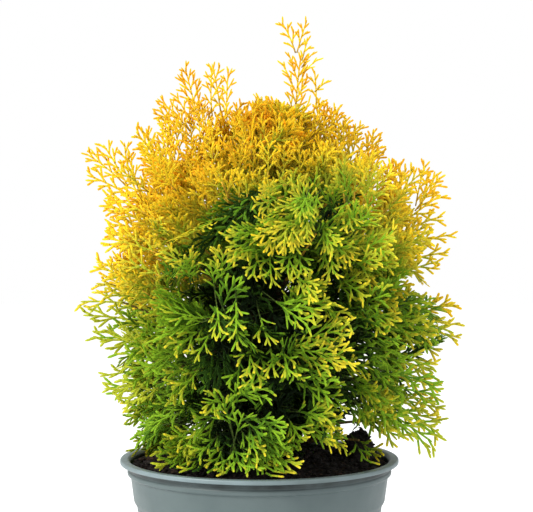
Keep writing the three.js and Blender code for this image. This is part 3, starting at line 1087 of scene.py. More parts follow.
EDGE = Reading(0.5, 0, 0, (  # Along both outlines of the crown, from its top down
    (182, 62, 199, 122, -6), (206, 63, 213, 118, 4), (213, 58, 221, 112, 10), (225, 63, 227, 120, -4),
    (157, 94, 190, 130, 2), (152, 111, 192, 138, -8), (177, 90, 193, 130, 8), (255, 100, 243, 140, 0),
    (266, 97, 270, 140, -10), (238, 98, 232, 135, 6), (101, 140, 128, 186, 0), (85, 150, 125, 184, 6),
    (86, 172, 128, 196, -6), (121, 139, 131, 184, -2), (126, 149, 138, 188, 8), (154, 134, 160, 180, 4),
    (141, 145, 168, 178, -5), (171, 136, 178, 180, -14), (141, 159, 175, 190, -12),
    (137, 176, 175, 200, 10), (103, 204, 145, 222, 0), (107, 220, 150, 238, -8), (107, 235, 149, 250, 6),
    (96, 259, 139, 275, 2), (95, 280, 140, 292, -6), (81, 296, 129, 305, 0), (81, 314, 132, 322, -8),
    (90, 334, 140, 340, 4), (100, 348, 150, 345, -10), (102, 384, 150, 372, -4), (105, 392, 152, 385, 8),
    (124, 410, 165, 392, -12), (127, 421, 170, 405, 0), (132, 452, 175, 425, -20),
    (332, 102, 318, 145, -6), (341, 104, 328, 147, 4), (349, 115, 333, 155, -2), (357, 120, 338, 160, 8),
    (376, 131, 356, 175, 0), (379, 146, 358, 185, -8), (387, 160, 393, 210, -4), (395, 159, 400, 205, 4),
    (401, 161, 402, 205, -8), (423, 160, 415, 205, 2), (438, 169, 418, 208, -4), (446, 177, 415, 210, 6),
    (444, 194, 405, 222, -2), (442, 211, 400, 235, -10), (455, 232, 405, 248, 2),
    (450, 251, 402, 262, -6), (440, 261, 398, 275, 8), (456, 302, 408, 312, 0), (459, 311, 410, 322, -8),
    (460, 330, 410, 329, 4), (440, 345, 395, 340, -6), (435, 366, 388, 362, 2), (437, 390, 392, 378, -4),
    (437, 402, 388, 392, 6), (441, 420, 390, 401, -2), (437, 430, 385, 412, -10),
))
LEADER = Reading(0.5, 0, 0, (  # On the leader
    (284, 18, 296, 52, 0), (308, 17, 297, 52, 1), (297, 46, 295, 125, 0), (281, 60, 292, 84, 0),
    (310, 36, 302, 60, -2), (315, 49, 301, 68, 2), (320, 58, 300, 75, -3), (329, 79, 315, 92, 2),
    (324, 99, 316, 110, 0), (316, 66, 317, 108, 4), (288, 50, 293, 70, 3), (302, 84, 296, 104, -6),
    (286, 90, 294, 112, -4), (310, 100, 299, 122, -8),
))
FRONT = Reading(1, 0.3, 8, (  # On the crown's front, from the top down
    (255, 210, 284, 196, -94), (262, 192, 290, 184, -88), (283, 240, 322, 190, -95),
    (232, 246, 280, 226, -97), (262, 239, 300, 206, -96), (300, 246, 284, 215, -93),
    (297, 236, 312, 205, -92), (288, 272, 291, 246, -95), (302, 270, 296, 244, -92),
    (255, 276, 262, 246, -95), (270, 282, 270, 252, -96), (186, 254, 190, 284, -89),
    (193, 250, 198, 280, -88), (219, 250, 223, 286, -95), (210, 262, 216, 290, -92),
    (322, 283, 285, 312, -91), (335, 304, 285, 312, -95), (318, 322, 280, 306, -98),
    (301, 330, 275, 306, -100), (347, 262, 335, 232, -84), (338, 270, 325, 240, -85),
    (374, 280, 338, 286, -74), (366, 293, 336, 290, -80), (362, 302, 338, 281, -83),
    (405, 289, 374, 286, -52), (396, 301, 372, 290, -64), (392, 321, 362, 294, -70),
    (380, 330, 356, 302, -76), (345, 329, 318, 307, -91), (330, 250, 318, 218, -88),
    (352, 226, 345, 196, -79), (340, 186, 330, 215, -72), (345, 340, 290, 348, -94),
    (345, 351, 285, 350, -93), (338, 361, 285, 352, -91), (283, 376, 280, 346, -96),
    (300, 377, 288, 348, -93), (272, 375, 270, 346, -96), (245, 372, 252, 342, -96),
    (232, 381, 240, 352, -92), (257, 383, 262, 351, -94), (325, 395, 284, 374, -85),
    (342, 405, 296, 382, -77), (322, 384, 289, 366, -85), (372, 372, 330, 364, -70),
    (376, 392, 334, 378, -61), (366, 420, 352, 397, -65), (385, 424, 352, 402, -44),
    (380, 408, 344, 392, -56), (212, 412.5, 222, 382, -86), (272, 394, 232, 400, -92.6),
    (250, 380, 232, 404, -95), (228, 398, 232, 425, -92), (240, 410, 236, 436, -91),
    (216, 392, 226, 420, -90), (182, 394, 202, 370, -80), (170, 388, 198, 361, -76),
    (192, 360, 210, 335, -91), (178, 352, 205, 330, -88), (240, 330, 236, 300, -102),
    (262, 345, 258, 318, -102), (222, 335, 216, 306, -100), (236, 345, 226, 318.5, -99),
    (168, 463, 222, 424, -57), (182, 446, 227, 420, -64), (172, 470, 224, 437, -59),
    (190, 473, 228, 436, -67), (208, 476, 230, 436, -72), (226, 478, 232, 440, -75),
    (237, 470, 232, 436, -76), (251, 470, 236, 438, -77), (268, 476, 240, 438, -77),
    (285, 470, 240, 432, -76), (287, 458, 242, 428, -75), (276, 449, 240, 423, -76),
    (282, 430, 242, 414, -88), (260, 438, 238, 412, -85), (282, 451, 280, 418, -76),
    (294, 449, 284, 420, -74), (299, 439, 286, 414, -80), (326, 414, 286, 412, -82),
    (336, 420, 290, 416, -77.4), (331, 438, 289, 422, -75), (341, 441, 295, 426, -70),
    (200, 455, 228, 428, -70), (256, 455, 236, 424, -77), (196, 430, 228, 410, -79),
    (365, 468, 350, 434, -47), (376, 457, 353, 436, -35), (310, 300, 290, 270, -96),
    (300, 215, 310, 190, -91),
))
LOW = Reading(1, 0, -4, (  # Low side shoots
    (163, 372, 206, 352, -46), (168, 390, 215, 372, -34), (158, 402, 205, 386, -24),
    (150, 416, 200, 398, -40), (146, 427, 195, 408, -46), (143, 438, 198, 420, -34),
    (150, 335, 200, 316, -24), (138, 356, 190, 345, -40), (132, 373, 185, 362, -46),
    (126, 396, 180, 385, -34), (150, 303, 195, 318, -24), (128, 331, 176, 334, -40),
    (118, 352, 160, 366, -46), (112, 386, 160, 383, -34), (130, 412, 178, 404, -24),
    (140, 432, 185, 420, -40), (437, 392, 390, 376, -46), (436, 404, 385, 390, -34),
    (438, 427, 380, 396, -24), (424, 443, 368, 402, -40), (408, 440, 360, 400, -46),
    (395, 437, 352, 398, -34), (372, 427, 346, 392, -24), (420, 378, 374, 366, -40),
    (434, 364, 385, 352, -46), (430, 346, 382, 332, -34), (452, 330, 404, 318, -24),
    (404, 352, 362, 336, -40),
))
LOW_NEAR = Reading(1, 0, 8, (  # Low side shoots nearer to the front
    (150, 310, 190, 290, -62), (148, 325, 192, 305, -56), (155, 340, 200, 318, -66),
    (160, 355, 205, 330, -52), (150, 365, 195, 345, -62), (165, 372, 210, 350, -56),
    (158, 385, 200, 362, -66), (172, 390, 212, 366, -52), (180, 345, 215, 322, -62),
    (185, 375, 218, 352, -56), (165, 322, 205, 300, -66), (190, 398, 215, 372, -52),
    (175, 405, 205, 380, -62), (172, 330, 210, 308, -56), (372, 345, 340, 325, -50),
    (385, 355, 348, 340, -58), (378, 370, 340, 352, -44), (392, 378, 355, 360, -54),
    (370, 388, 338, 368, -50), (388, 398, 350, 380, -58), (375, 405, 343, 388, -44),
    (400, 362, 362, 345, -54), (405, 392, 368, 372, -50), (360, 358, 328, 340, -58),
    (366, 420, 338, 398, -44), (395, 412, 358, 398, -54),
))
CREST = Reading(1, 0, 7, (  # Upright shoots on the crown's crest
    (236, 108, 232, 150, -36), (246, 103, 242, 148, -29), (254, 98, 246, 140, -29),
    (265, 97, 271, 140, -24), (262, 112, 266, 150, -44), (276, 106, 278, 150, -31),
    (288, 104, 286, 148, -29), (306, 104, 304, 150, -10), (316, 101, 312, 148, -8),
    (324, 99, 318, 145, -4), (333, 102, 326, 150, -8), (341, 104, 332, 150, -4), (350, 116, 338, 158, -8),
    (358, 122, 342, 162, -4), (362, 134, 346, 172, -8), (376, 132, 362, 172, -4),
    (378, 143, 360, 182, -8), (228, 101, 222, 148, -20), (215, 118, 214, 160, -40),
    (203, 122, 206, 165, -34), (212, 140, 218, 185, -54), (225, 136, 228, 182, -50),
    (240, 138, 238, 185, -58), (255, 135, 252, 180, -54), (270, 138, 268, 182, -59),
    (285, 140, 284, 185, -54), (298, 138, 300, 182, -55), (312, 142, 308, 186, -49),
    (326, 140, 320, 185, -45), (340, 142, 330, 186, -32), (352, 150, 338, 190, -32),
    (206, 165, 216, 208, -63), (222, 162, 228, 205, -69), (238, 166, 240, 205, -68),
    (190, 150, 204, 190, -51), (178, 150, 196, 190, -40), (190, 172, 208, 212, -66),
    (330, 165, 322, 205, -56), (316, 168, 310, 205, -67), (346, 168, 334, 206, -50),
    (367, 160, 350, 200, -24),
))
LEFT_FANS = Reading(1, 0, -2, (  # Golden fans on the left
    (103, 192, 150, 216, -44), (103, 205, 150, 226, -30), (108, 221, 155, 236, -16),
    (107, 230, 158, 246, -36), (106, 237, 160, 254, -44), (118, 245, 165, 256, -30),
    (124, 254, 172, 266, -16), (96, 262, 136, 288, -36), (116, 258, 165, 279, -44),
    (140, 196, 176, 236, -44), (150, 184, 190, 226, -30), (160, 190, 205, 238, -50),
    (165, 214, 202, 252, -58), (148, 232, 194, 258, -44), (140, 262, 186, 282, -30),
    (128, 275, 176, 296, -36), (156, 250, 200, 276, -58), (176, 228, 214, 258, -44),
    (122, 285, 170, 306, -16), (108, 270, 150, 296, -36),
))
BROW = Reading(1, 0, 8, (  # Short upright shoots under the crest
    (259, 168, 262, 201, -72), (279, 170, 278, 205, -72), (295, 168, 293, 201, -71),
    (270, 177, 268, 210, -74), (286, 180, 284, 212, -74), (244, 172, 248, 205, -72),
))


# Foliage


class Draw(IntEnum):
    """Which of a seed's random numbers each property takes. One that is drawn for every side shoot
    or finger takes a row of them, from the number given here on."""

    MASS_TONE = 3
    DRAWN_ROLL = 5
    DRAWN_BREADTH = 6
    BREADTH = 7
    FAN_LENGTH = 8
    TONE = 9
    LIE = 11
    LENGTH = 12
    SPARE = 13
    BARE = 14
    THINNED = 15
    GRADE = 16
    OPENED = 17
    PLANE = 21
    PLANE_TURN = 22
    SWAY = 31
    SHOOT_PLACE = 40
    INNER_PLACE = 50
    SHOOT_LENGTH = 60
    SHOOT_ANGLE = 80
    FAN_TURN = 90
    SHOOT_TILT = 100
    INNER_TURN = 130
    FINGER_ANGLE = 200
    FINGER_LIFT = 400
    FINGER_LENGTH = 600
    FINGER_TIP = 800


@dataclass
class Rows:
    """Arrays that hold the same things, one row each."""

    def kept(self, chosen: Array | tuple) -> Self:
        """The rows where a mask is true or that an index gives."""
        return type(self)(*(getattr(self, name)[chosen] for name in self.__dataclass_fields__))

    def widened(self) -> Self:
        """The arrays with one more axis after the first, for side shoots or links."""
        return self.kept((slice(None), None))

    @classmethod
    def joined(cls, several: Sequence[Self]) -> Self:
        """All rows of several."""
        names = cls.__dataclass_fields__
        return cls(*(np.concatenate([getattr(one, name) for one in several]) for name in names))


@dataclass
class Sprays(Rows):
    """Flat sprays, one row each."""

    root: Array  # Where each starts
    aim: Array  # The unit direction in which each grows
    side: Array  # A unit vector square to that in the spray's plane
    length: Array  # Its length
    breadth: Array  # Its side shoots' length, as a share of its own
    bare: Array  # The share of its axis below the first side shoots
    tone: Array  # Its tint at half its length, as a place in the list of tints
    spare: Array  # How far it may stand out of the close foliage
    grade: Array  # The coarseness of its shoots, where 1 is the habit's own
    seed: Array  # Its number

    def tip(self) -> Array:
        """Where straight sprays end."""
        return self.root + self.aim * self.length[..., None]


# A strap's and a club's points, each along, across and over the link, and their triangles.
STRAP_POINTS = np.array([
    (-0.05, -0.48, 0), (1.05, -0.48, 0), (1.05, 0.48, 0), (-0.05, 0.48, 0),
    (0.1, 0, 0.5), (0.9, 0, 0.5), (0.1, 0, -0.5), (0.9, 0, -0.5),
])
STRAP_FACES = np.array([
    (0, 1, 5), (0, 5, 4), (1, 2, 5), (2, 3, 4), (2, 4, 5), (3, 0, 4),
    (7, 1, 0), (6, 7, 0), (7, 2, 1), (6, 3, 2), (7, 6, 2), (6, 0, 3),
])
CLUB_POINTS = np.array([
    (-0.05, -0.47, 0), (0.78, -0.5, 0), (1, -0.22, 0), (1, 0.22, 0), (0.78, 0.5, 0),
    (-0.05, 0.47, 0), (0.4, 0, 0.5), (0.4, 0, -0.5),
])
CLUB_FACES = np.array([
    (0, 1, 6), (1, 2, 6), (2, 3, 6), (3, 4, 6), (4, 5, 6), (5, 0, 6),
    (1, 0, 7), (2, 1, 7), (3, 2, 7), (4, 3, 7), (5, 4, 7), (0, 5, 7),
])
GREEN_STALK, GOLDEN_STALK = -1, -2


@dataclass
class Links(Rows):
    """The short flat links that shoots are chains of, one row each."""

    start: Array  # Where each starts
    end: Array  # Where each ends
    face: Array  # The normal of its flat side
    width: Array  # Its width
    thickness: Array  # Its thickness
    club: Array  # Whether it is a club, widest past its middle and rounded at its end
    tint: Array  # Its tint's place in the list, or GREEN_STALK or GOLDEN_STALK

    def shape(self) -> Shape:
        """Each link as a closed flat strap or club, with a ridge along each face. A strap's ends
        reach a little into its neighbours'.

        Returns:
            The links' shape.
        """
        axis = self.end - self.start
        across = unit(np.cross(self.face, axis))
        face = unit(np.cross(axis, across))
        club = self.club[:, None, None]
        place = np.where(club, CLUB_POINTS, STRAP_POINTS)
        points = (
            self.start[:, None]
            + axis[:, None] * place[..., :1]
            + (across * self.width[:, None])[:, None] * place[..., 1:2]
            + (face * self.thickness[:, None])[:, None] * place[..., 2:]
        )
        first = len(STRAP_POINTS) * np.arange(len(axis))[:, None, None]
        indices = np.where(club, CLUB_FACES, STRAP_FACES) + first
        return Shape(points.reshape(-1, 3), indices.reshape(-1, 3))


@dataclass
class SideShoots:
    """The side shoots of all sprays, as arrays by spray and shoot."""

    foot: Array  # Where each leaves its spray's axis
    ahead: Array  # The axis' direction there
    way: Array  # Its own direction
    face: Array  # The normal of its flat side
    size: Array  # Its length
    share: Array  # How far up the axis it leaves
    hand: Array  # 1 on one side of the axis and -1 on the other
    alive: Array  # Whether it grows at all
    forward: float  # How far its tip bends forwards, as a share of its length

    def at(self, distance: Array) -> Array:
        """Points on the shoots: straight on, and bent forwards as the square.

        Args:
            distance: How far they are from the foot.

        Returns:
            The points.
        """
        bend = self.forward * distance * (distance / self.size[..., None])
        ways = self.way[:, :, None] * distance[..., None] + self.ahead[:, :, None] * bend[..., None]
        return self.foot[:, :, None] + ways


@dataclass
class SprayHabit:
    """How a flat spray branches: side shoots left and right in turn up its axis, each with
    fingers left and right in turn, all chains of links that lean forwards. Each finger ends in
    a sunnier tip. A table gives its value by what its comment names.
    """

    # The length of a link, and the most of what a spray holds. An axis has a fewest, too.
    step: float = 6.5
    axis_links: tuple[int, int] = (3, 12)
    side_shoots: int = 17
    shoot_links: int = 6
    fingers: int = 6

    # Side shoots: their spacing by the spray's breadth, multiplied by its tone's, their length by
    # their place, multiplied by one with a least and a random part, and their angles in degrees at
    # the axis' foot and tip. None stands beyond the last share of the axis.
    spacing: Table = ((0.25, 5.2), (0.4, 3.6))
    shade_spacing: Table = ((0, 1.2), (2, 1.0))
    swell: Table = ((0, 0.6), (0.25, 1), (0.65, 0.78), (1, 0.3))
    shoot_length: Pair = (0.72, 0.56)
    least_shoot: float = 4.0
    last_shoot: float = 0.97
    shoot_jitter: float = 0.4
    angle: Pair = (39.0, 25.0)

    # Fingers: the distance to the first and between them, multiplied by one for the spray's
    # breadth, their angle in degrees, their least and greatest length, and their length by the
    # length of side shoot beyond them, multiplied by one with a least and a random part. None
    # grows where too little lies beyond.
    finger_start: float = 3.4
    finger_spacing: float = 3.1
    finger_spread: Table = ((0.25, 1.35), (0.4, 1.0))
    finger_angle: float = 26.0
    finger_length: Pair = (4.8, 11.0)
    finger_growth: Pair = (4.4, 0.5)
    finger_uneven: Pair = (0.8, 0.4)
    least_beyond: float = 1.4

    # How far the angles of side shoots and fingers vary, in degrees, and how far both tilt.
    angle_jitter: Pair = (8.0, 9.0)
    tilt: float = 0.2

    # Widths of axis, side shoots and fingers, a link's thickness as a share of its width, the bare
    # stalk's width and thickness, and the length and size of a finger's bar as shares of its own.
    width: Triple = (1.2, 1.4, 1.52)
    thickness: float = 0.55
    stalk: Pair = (0.9, 0.8)
    bar: Pair = (0.55, 0.94)

    # How far a spray's tip lies aside and sinks and a shoot's tip bends forwards, as shares of
    # their length.
    sway: float = 0.12
    droop: float = 0.1
    forward: float = 0.2

    # Ripening, in tints from a spray's foot to its end: multiplied by one for its tone, growing
    # with a power of the place, and with the spray's own tone at a share. The place counts up the
    # axis and out on the side shoot in two parts. Then that of a side shoot's last link, and of a
    # finger's tip, multiplied by one for its tone and place.
    ripening: float = 3.5
    ripening_by_tone: Table = ((0, 0.3), (2, 0.6), (3.4, 0.75), (5, 1.0), (7, 0.7))
    ripe_share: Pair = (1.6, 0.42)
    up_and_out: Pair = (0.6, 0.4)
    end_ripening: float = 0.6
    tip_ripening: float = 0.7
    tip_by_tone: Table = ((2.4, 0), (4, 1), (6, 1), (7, 0.9))
    golden_stalk: float = 4.3

    # The share of it all on the lower left, and where that is, by x and by height.
    calm: float = 0.15
    calm_left: Table = ((-62, 1), (-38, 0))
    calm_low: Table = ((222, 1), (246, 0))

    def ripeness(self, sprays: Sprays) -> Array:
        """How strongly sprays ripen by their tips' places: least on the lower left.

        Args:
            sprays: The sprays.

        Returns:
            Shares of the full ripening.
        """
        tip = sprays.tip()
        low_left = along(self.calm_left, tip[..., 0]) * along(self.calm_low, tip[..., 2])
        return 1 - (1 - self.calm) * low_left

    def tints(self, sprays: Sprays, share: Array, sunnier: Array | float = 0.0) -> Array:
        """The tint of links by how far out on their spray they are: it ripens from below the
        spray's tone at the foot to above it at the end, less where the tone is gold already.

        Args:
            sprays: The sprays, widened to the links' axes.
            share: How far out the links are, from 0 to 1.
            sunnier: How many tints sunnier they are besides.

        Returns:
            Places in the list of tints.
        """
        tone = sprays.tone + sunnier
        strength = self.ripening * along(self.ripening_by_tone, tone) * self.ripeness(sprays)
        power, own = self.ripe_share
        return np.clip(np.round(tone + strength * (share**power - own)), 0, len(TINTS) - 1)

    def axis_at(self, sprays: Sprays, share: Array) -> Array:
        """Points on the axes: straight, with a sway and a droop that grow as the square.

        Args:
            sprays: The sprays, widened to the shares' axes.
            share: How far up the axes the points are.

        Returns:
            The points.
        """
        distance = share[..., None] * sprays.length[..., None]
        sway = self.sway * swing(sprays.seed, Draw.SWAY)[..., None]
        bent = share[..., None] * distance * (sway * sprays.side - self.droop * UP)
        return sprays.root + sprays.aim * distance + bent

    def axes(self, sprays: Sprays, crown: Crown) -> Links:
        """The axes: chains of links, with a bare stalk below the first side shoots.

        Args:
            sprays: The sprays, widened by one axis.
            crown: The outline that keeps them in.

        Returns:
            The links.
        """
        fewest, most = self.axis_links
        order = np.arange(most)[None]
        count = np.clip(np.round(sprays.length / self.step), fewest, most)
        share = order / count
        start, end = self.axis_at(sprays, share), self.axis_at(sprays, (order + 1) / count)
        free = crown.holds(end, sprays.spare) & (order < count)
        normal = np.broadcast_to(np.cross(sprays.aim, sprays.side), start.shape)
        bare = share < sprays.bare
        stalk = np.where(sprays.tone < self.golden_stalk, GREEN_STALK, GOLDEN_STALK)
        width = np.where(bare, self.stalk[0], self.width[0] * sprays.grade)
        thickness = np.where(bare, self.stalk[1], self.thickness * width)
        tint = np.where(bare, stalk, self.tints(sprays, 0.8 * share))
        links = Links(start, end, normal, width, thickness, order + 1 == count, tint)
        return links.kept(np.logical_and.accumulate(free, axis=1))

    def branched(self, sprays: Sprays, crown: Crown) -> SideShoots:
        """The side shoots, which leave the axes left and right in turn.

        Args:
            sprays: The sprays, widened by one axis.
            crown: The outline that keeps them in.

        Returns:
            The side shoots.
        """
        order = np.arange(self.side_shoots)[None]
        spacing = along(self.spacing, sprays.breadth) * sprays.grade
        spacing = spacing * along(self.shade_spacing, sprays.tone)
        place = order + self.shoot_jitter * chance(sprays.seed, Draw.SHOOT_PLACE + order)
        share = sprays.bare + place * spacing / sprays.length
        on_axis = np.minimum(share, 1)
        foot = self.axis_at(sprays, on_axis)
        ahead = unit(self.axis_at(sprays, on_axis + 0.02) - foot)
        swell = along(self.swell, (share - sprays.bare) / (1 - sprays.bare))
        least, more = self.shoot_length
        uneven = least + more * chance(sprays.seed, Draw.SHOOT_LENGTH + order)
        size = np.maximum(sprays.breadth * sprays.length * swell * uneven, self.least_shoot)
        jitter = self.angle_jitter[0] * swing(sprays.seed, Draw.SHOOT_ANGLE + order)
        angle = np.radians(lerp(*self.angle, share) + jitter)[..., None]
        tilt = self.tilt * swing(sprays.seed, Draw.SHOOT_TILT + order)[..., None]
        hand = np.where((order + np.round(sprays.seed)) % 2 == 0, 1.0, -1.0)
        out = sprays.side * hand[..., None]
        normal = np.cross(sprays.aim, sprays.side)
        way = unit(ahead * np.cos(angle) + out * np.sin(angle) + normal * tilt)
        face = unit(normal - way * dot(way, normal))
        alive = (share < self.last_shoot) & crown.holds(foot, sprays.spare)
        return SideShoots(foot, ahead, way, face, size, share, hand, alive, self.forward)

    def tines(self, sprays: Sprays, shoots: SideShoots, crown: Crown) -> list[Links]:
        """The side shoots' chains and the fingers that leave them left and right in turn.

        Args:
            sprays: The sprays, widened for shoots and for links.
            shoots: Their side shoots.
            crown: The outline that keeps them in.

        Returns:
            The links of the chains and of the fingers.
        """
        up, out = self.up_and_out
        size, share = shoots.size[..., None], shoots.share[..., None]
        place = np.arange(self.shoot_links)[None, None]
        count = np.clip(np.ceil(size / self.step), 1, self.shoot_links)
        link = size / count
        start, end = shoots.at(place * link), shoots.at((place + 1) * link)
        free = crown.holds(end, sprays.spare) & shoots.alive[..., None] & (place < count)
        growing = np.logical_and.accumulate(free, axis=2)
        last = place + 1 == count
        sunnier = np.where(last, self.end_ripening, 0.0)
        tint = self.tints(sprays, share * up + out * place / count, sunnier)
        width = np.broadcast_to(self.width[1] * sprays.grade, tint.shape)
        faces = np.broadcast_to(shoots.face[:, :, None], start.shape)
        chains = Links(start, end, faces, width, self.thickness * width, last, tint).kept(growing)

        # A finger is one link, or a bar with a club on it where its tip is sunnier.
        place = np.arange(self.fingers)[None, None]
        spread = along(self.finger_spread, sprays.breadth) * sprays.grade
        distance = (self.finger_start + place * self.finger_spacing) * spread
        foot = shoots.at(distance)
        lead = unit(shoots.at(distance + 0.5) - foot)
        number = 10 * np.arange(self.side_shoots)[None, :, None] + place
        turn = np.where(place % 2 == 0, 1, -1) * shoots.hand[..., None]
        jitter = self.angle_jitter[1] * swing(sprays.seed, Draw.FINGER_ANGLE + number)
        angle = np.radians(self.finger_angle + jitter)[..., None]
        lift = self.tilt * swing(sprays.seed, Draw.FINGER_LIFT + number)[..., None]
        beside = np.cross(shoots.face, shoots.way)[:, :, None] * turn[..., None]
        way = unit(lead * np.cos(angle) + beside * np.sin(angle) + shoots.face[:, :, None] * lift)
        beyond = size - distance
        least, growth = self.finger_growth
        reach = np.clip(least + growth * beyond, *self.finger_length) * sprays.grade
        least, more = self.finger_uneven
        reach = reach * (least + more * chance(sprays.seed, Draw.FINGER_LENGTH + number))
        middle = foot + way * (self.bar[0] * reach)[..., None]
        tip = foot + way * reach[..., None]
        parent = np.clip((distance / link).astype(int), 0, self.shoot_links - 1)
        alive = np.take_along_axis(growing, parent, axis=2) & (beyond > self.least_beyond)
        alive &= crown.holds(tip, sprays.spare)
        outwards = share * up + out * distance / size + 0.1
        tint = self.tints(sprays, outwards)
        ripe = self.tip_ripening * along(self.tip_by_tone, sprays.tone + outwards)
        ripe = ripe * self.ripeness(sprays)
        ripe = np.round(tint + ripe * (0.7 + 0.6 * chance(sprays.seed, Draw.FINGER_TIP + number)))
        ripe = np.clip(np.minimum(ripe, np.ceil(sprays.tone + 1)), 0, len(TINTS) - 1)
        width = np.broadcast_to(self.width[2] * sprays.grade, tint.shape)
        faces = np.broadcast_to(shoots.face[:, :, None], tip.shape)
        thickness, club, split = self.thickness * width, np.full(tint.shape, True), ripe > tint
        thin = self.bar[1]
        bars = Links(foot, middle, faces, thin * width, thin * thickness, ~club, tint)
        clubs = Links(middle, tip, faces, width, thickness, club, ripe)
        whole = Links(foot, tip, faces, width, thickness, club, tint)
        return [
            chains, bars.kept(alive & split), clubs.kept(alive & split), whole.kept(alive & ~split)
        ]

    def grow(self, sprays: Sprays, crown: Crown) -> Links:
        """Grows all sprays at once, as arrays by spray, side shoot and finger.

        Args:
            sprays: The sprays to grow.
            crown: The outline that keeps them in.

        Returns:
            The links of every shoot.
        """
        wide = sprays.widened()
        shoots = self.branched(wide, crown)
        return Links.joined([self.axes(wide, crown), *self.tines(wide.widened(), shoots, crown)])


class Look(Enum):
    """How sets of shoots that the photograph shows are drawn: the first one's seed, their side
    shoots' length as a share of their own, how far their planes turn from facing one way, in
    degrees, and how far apart the first seeds are where a set repeats."""

    EDGE = (7000, 0.3, 28, 0)
    EDGE_AGAIN = (7100, 0.38, 38, 70)
    FRONT = (7600, 0.42, 26, 0)
    FRONT_AGAIN = (8100, 0.42, 36, 100)
    SIDE_AGAIN = (8700, 0.4, 30, 100)
    LOW = (7800, 0.34, 18, 0)
    HIGH = (7850, 0.32, 25, 0)
    HIGH_AGAIN = (7950, 0.36, 40, 0)
    LEADER = (8000, 0.3, 30, 0)


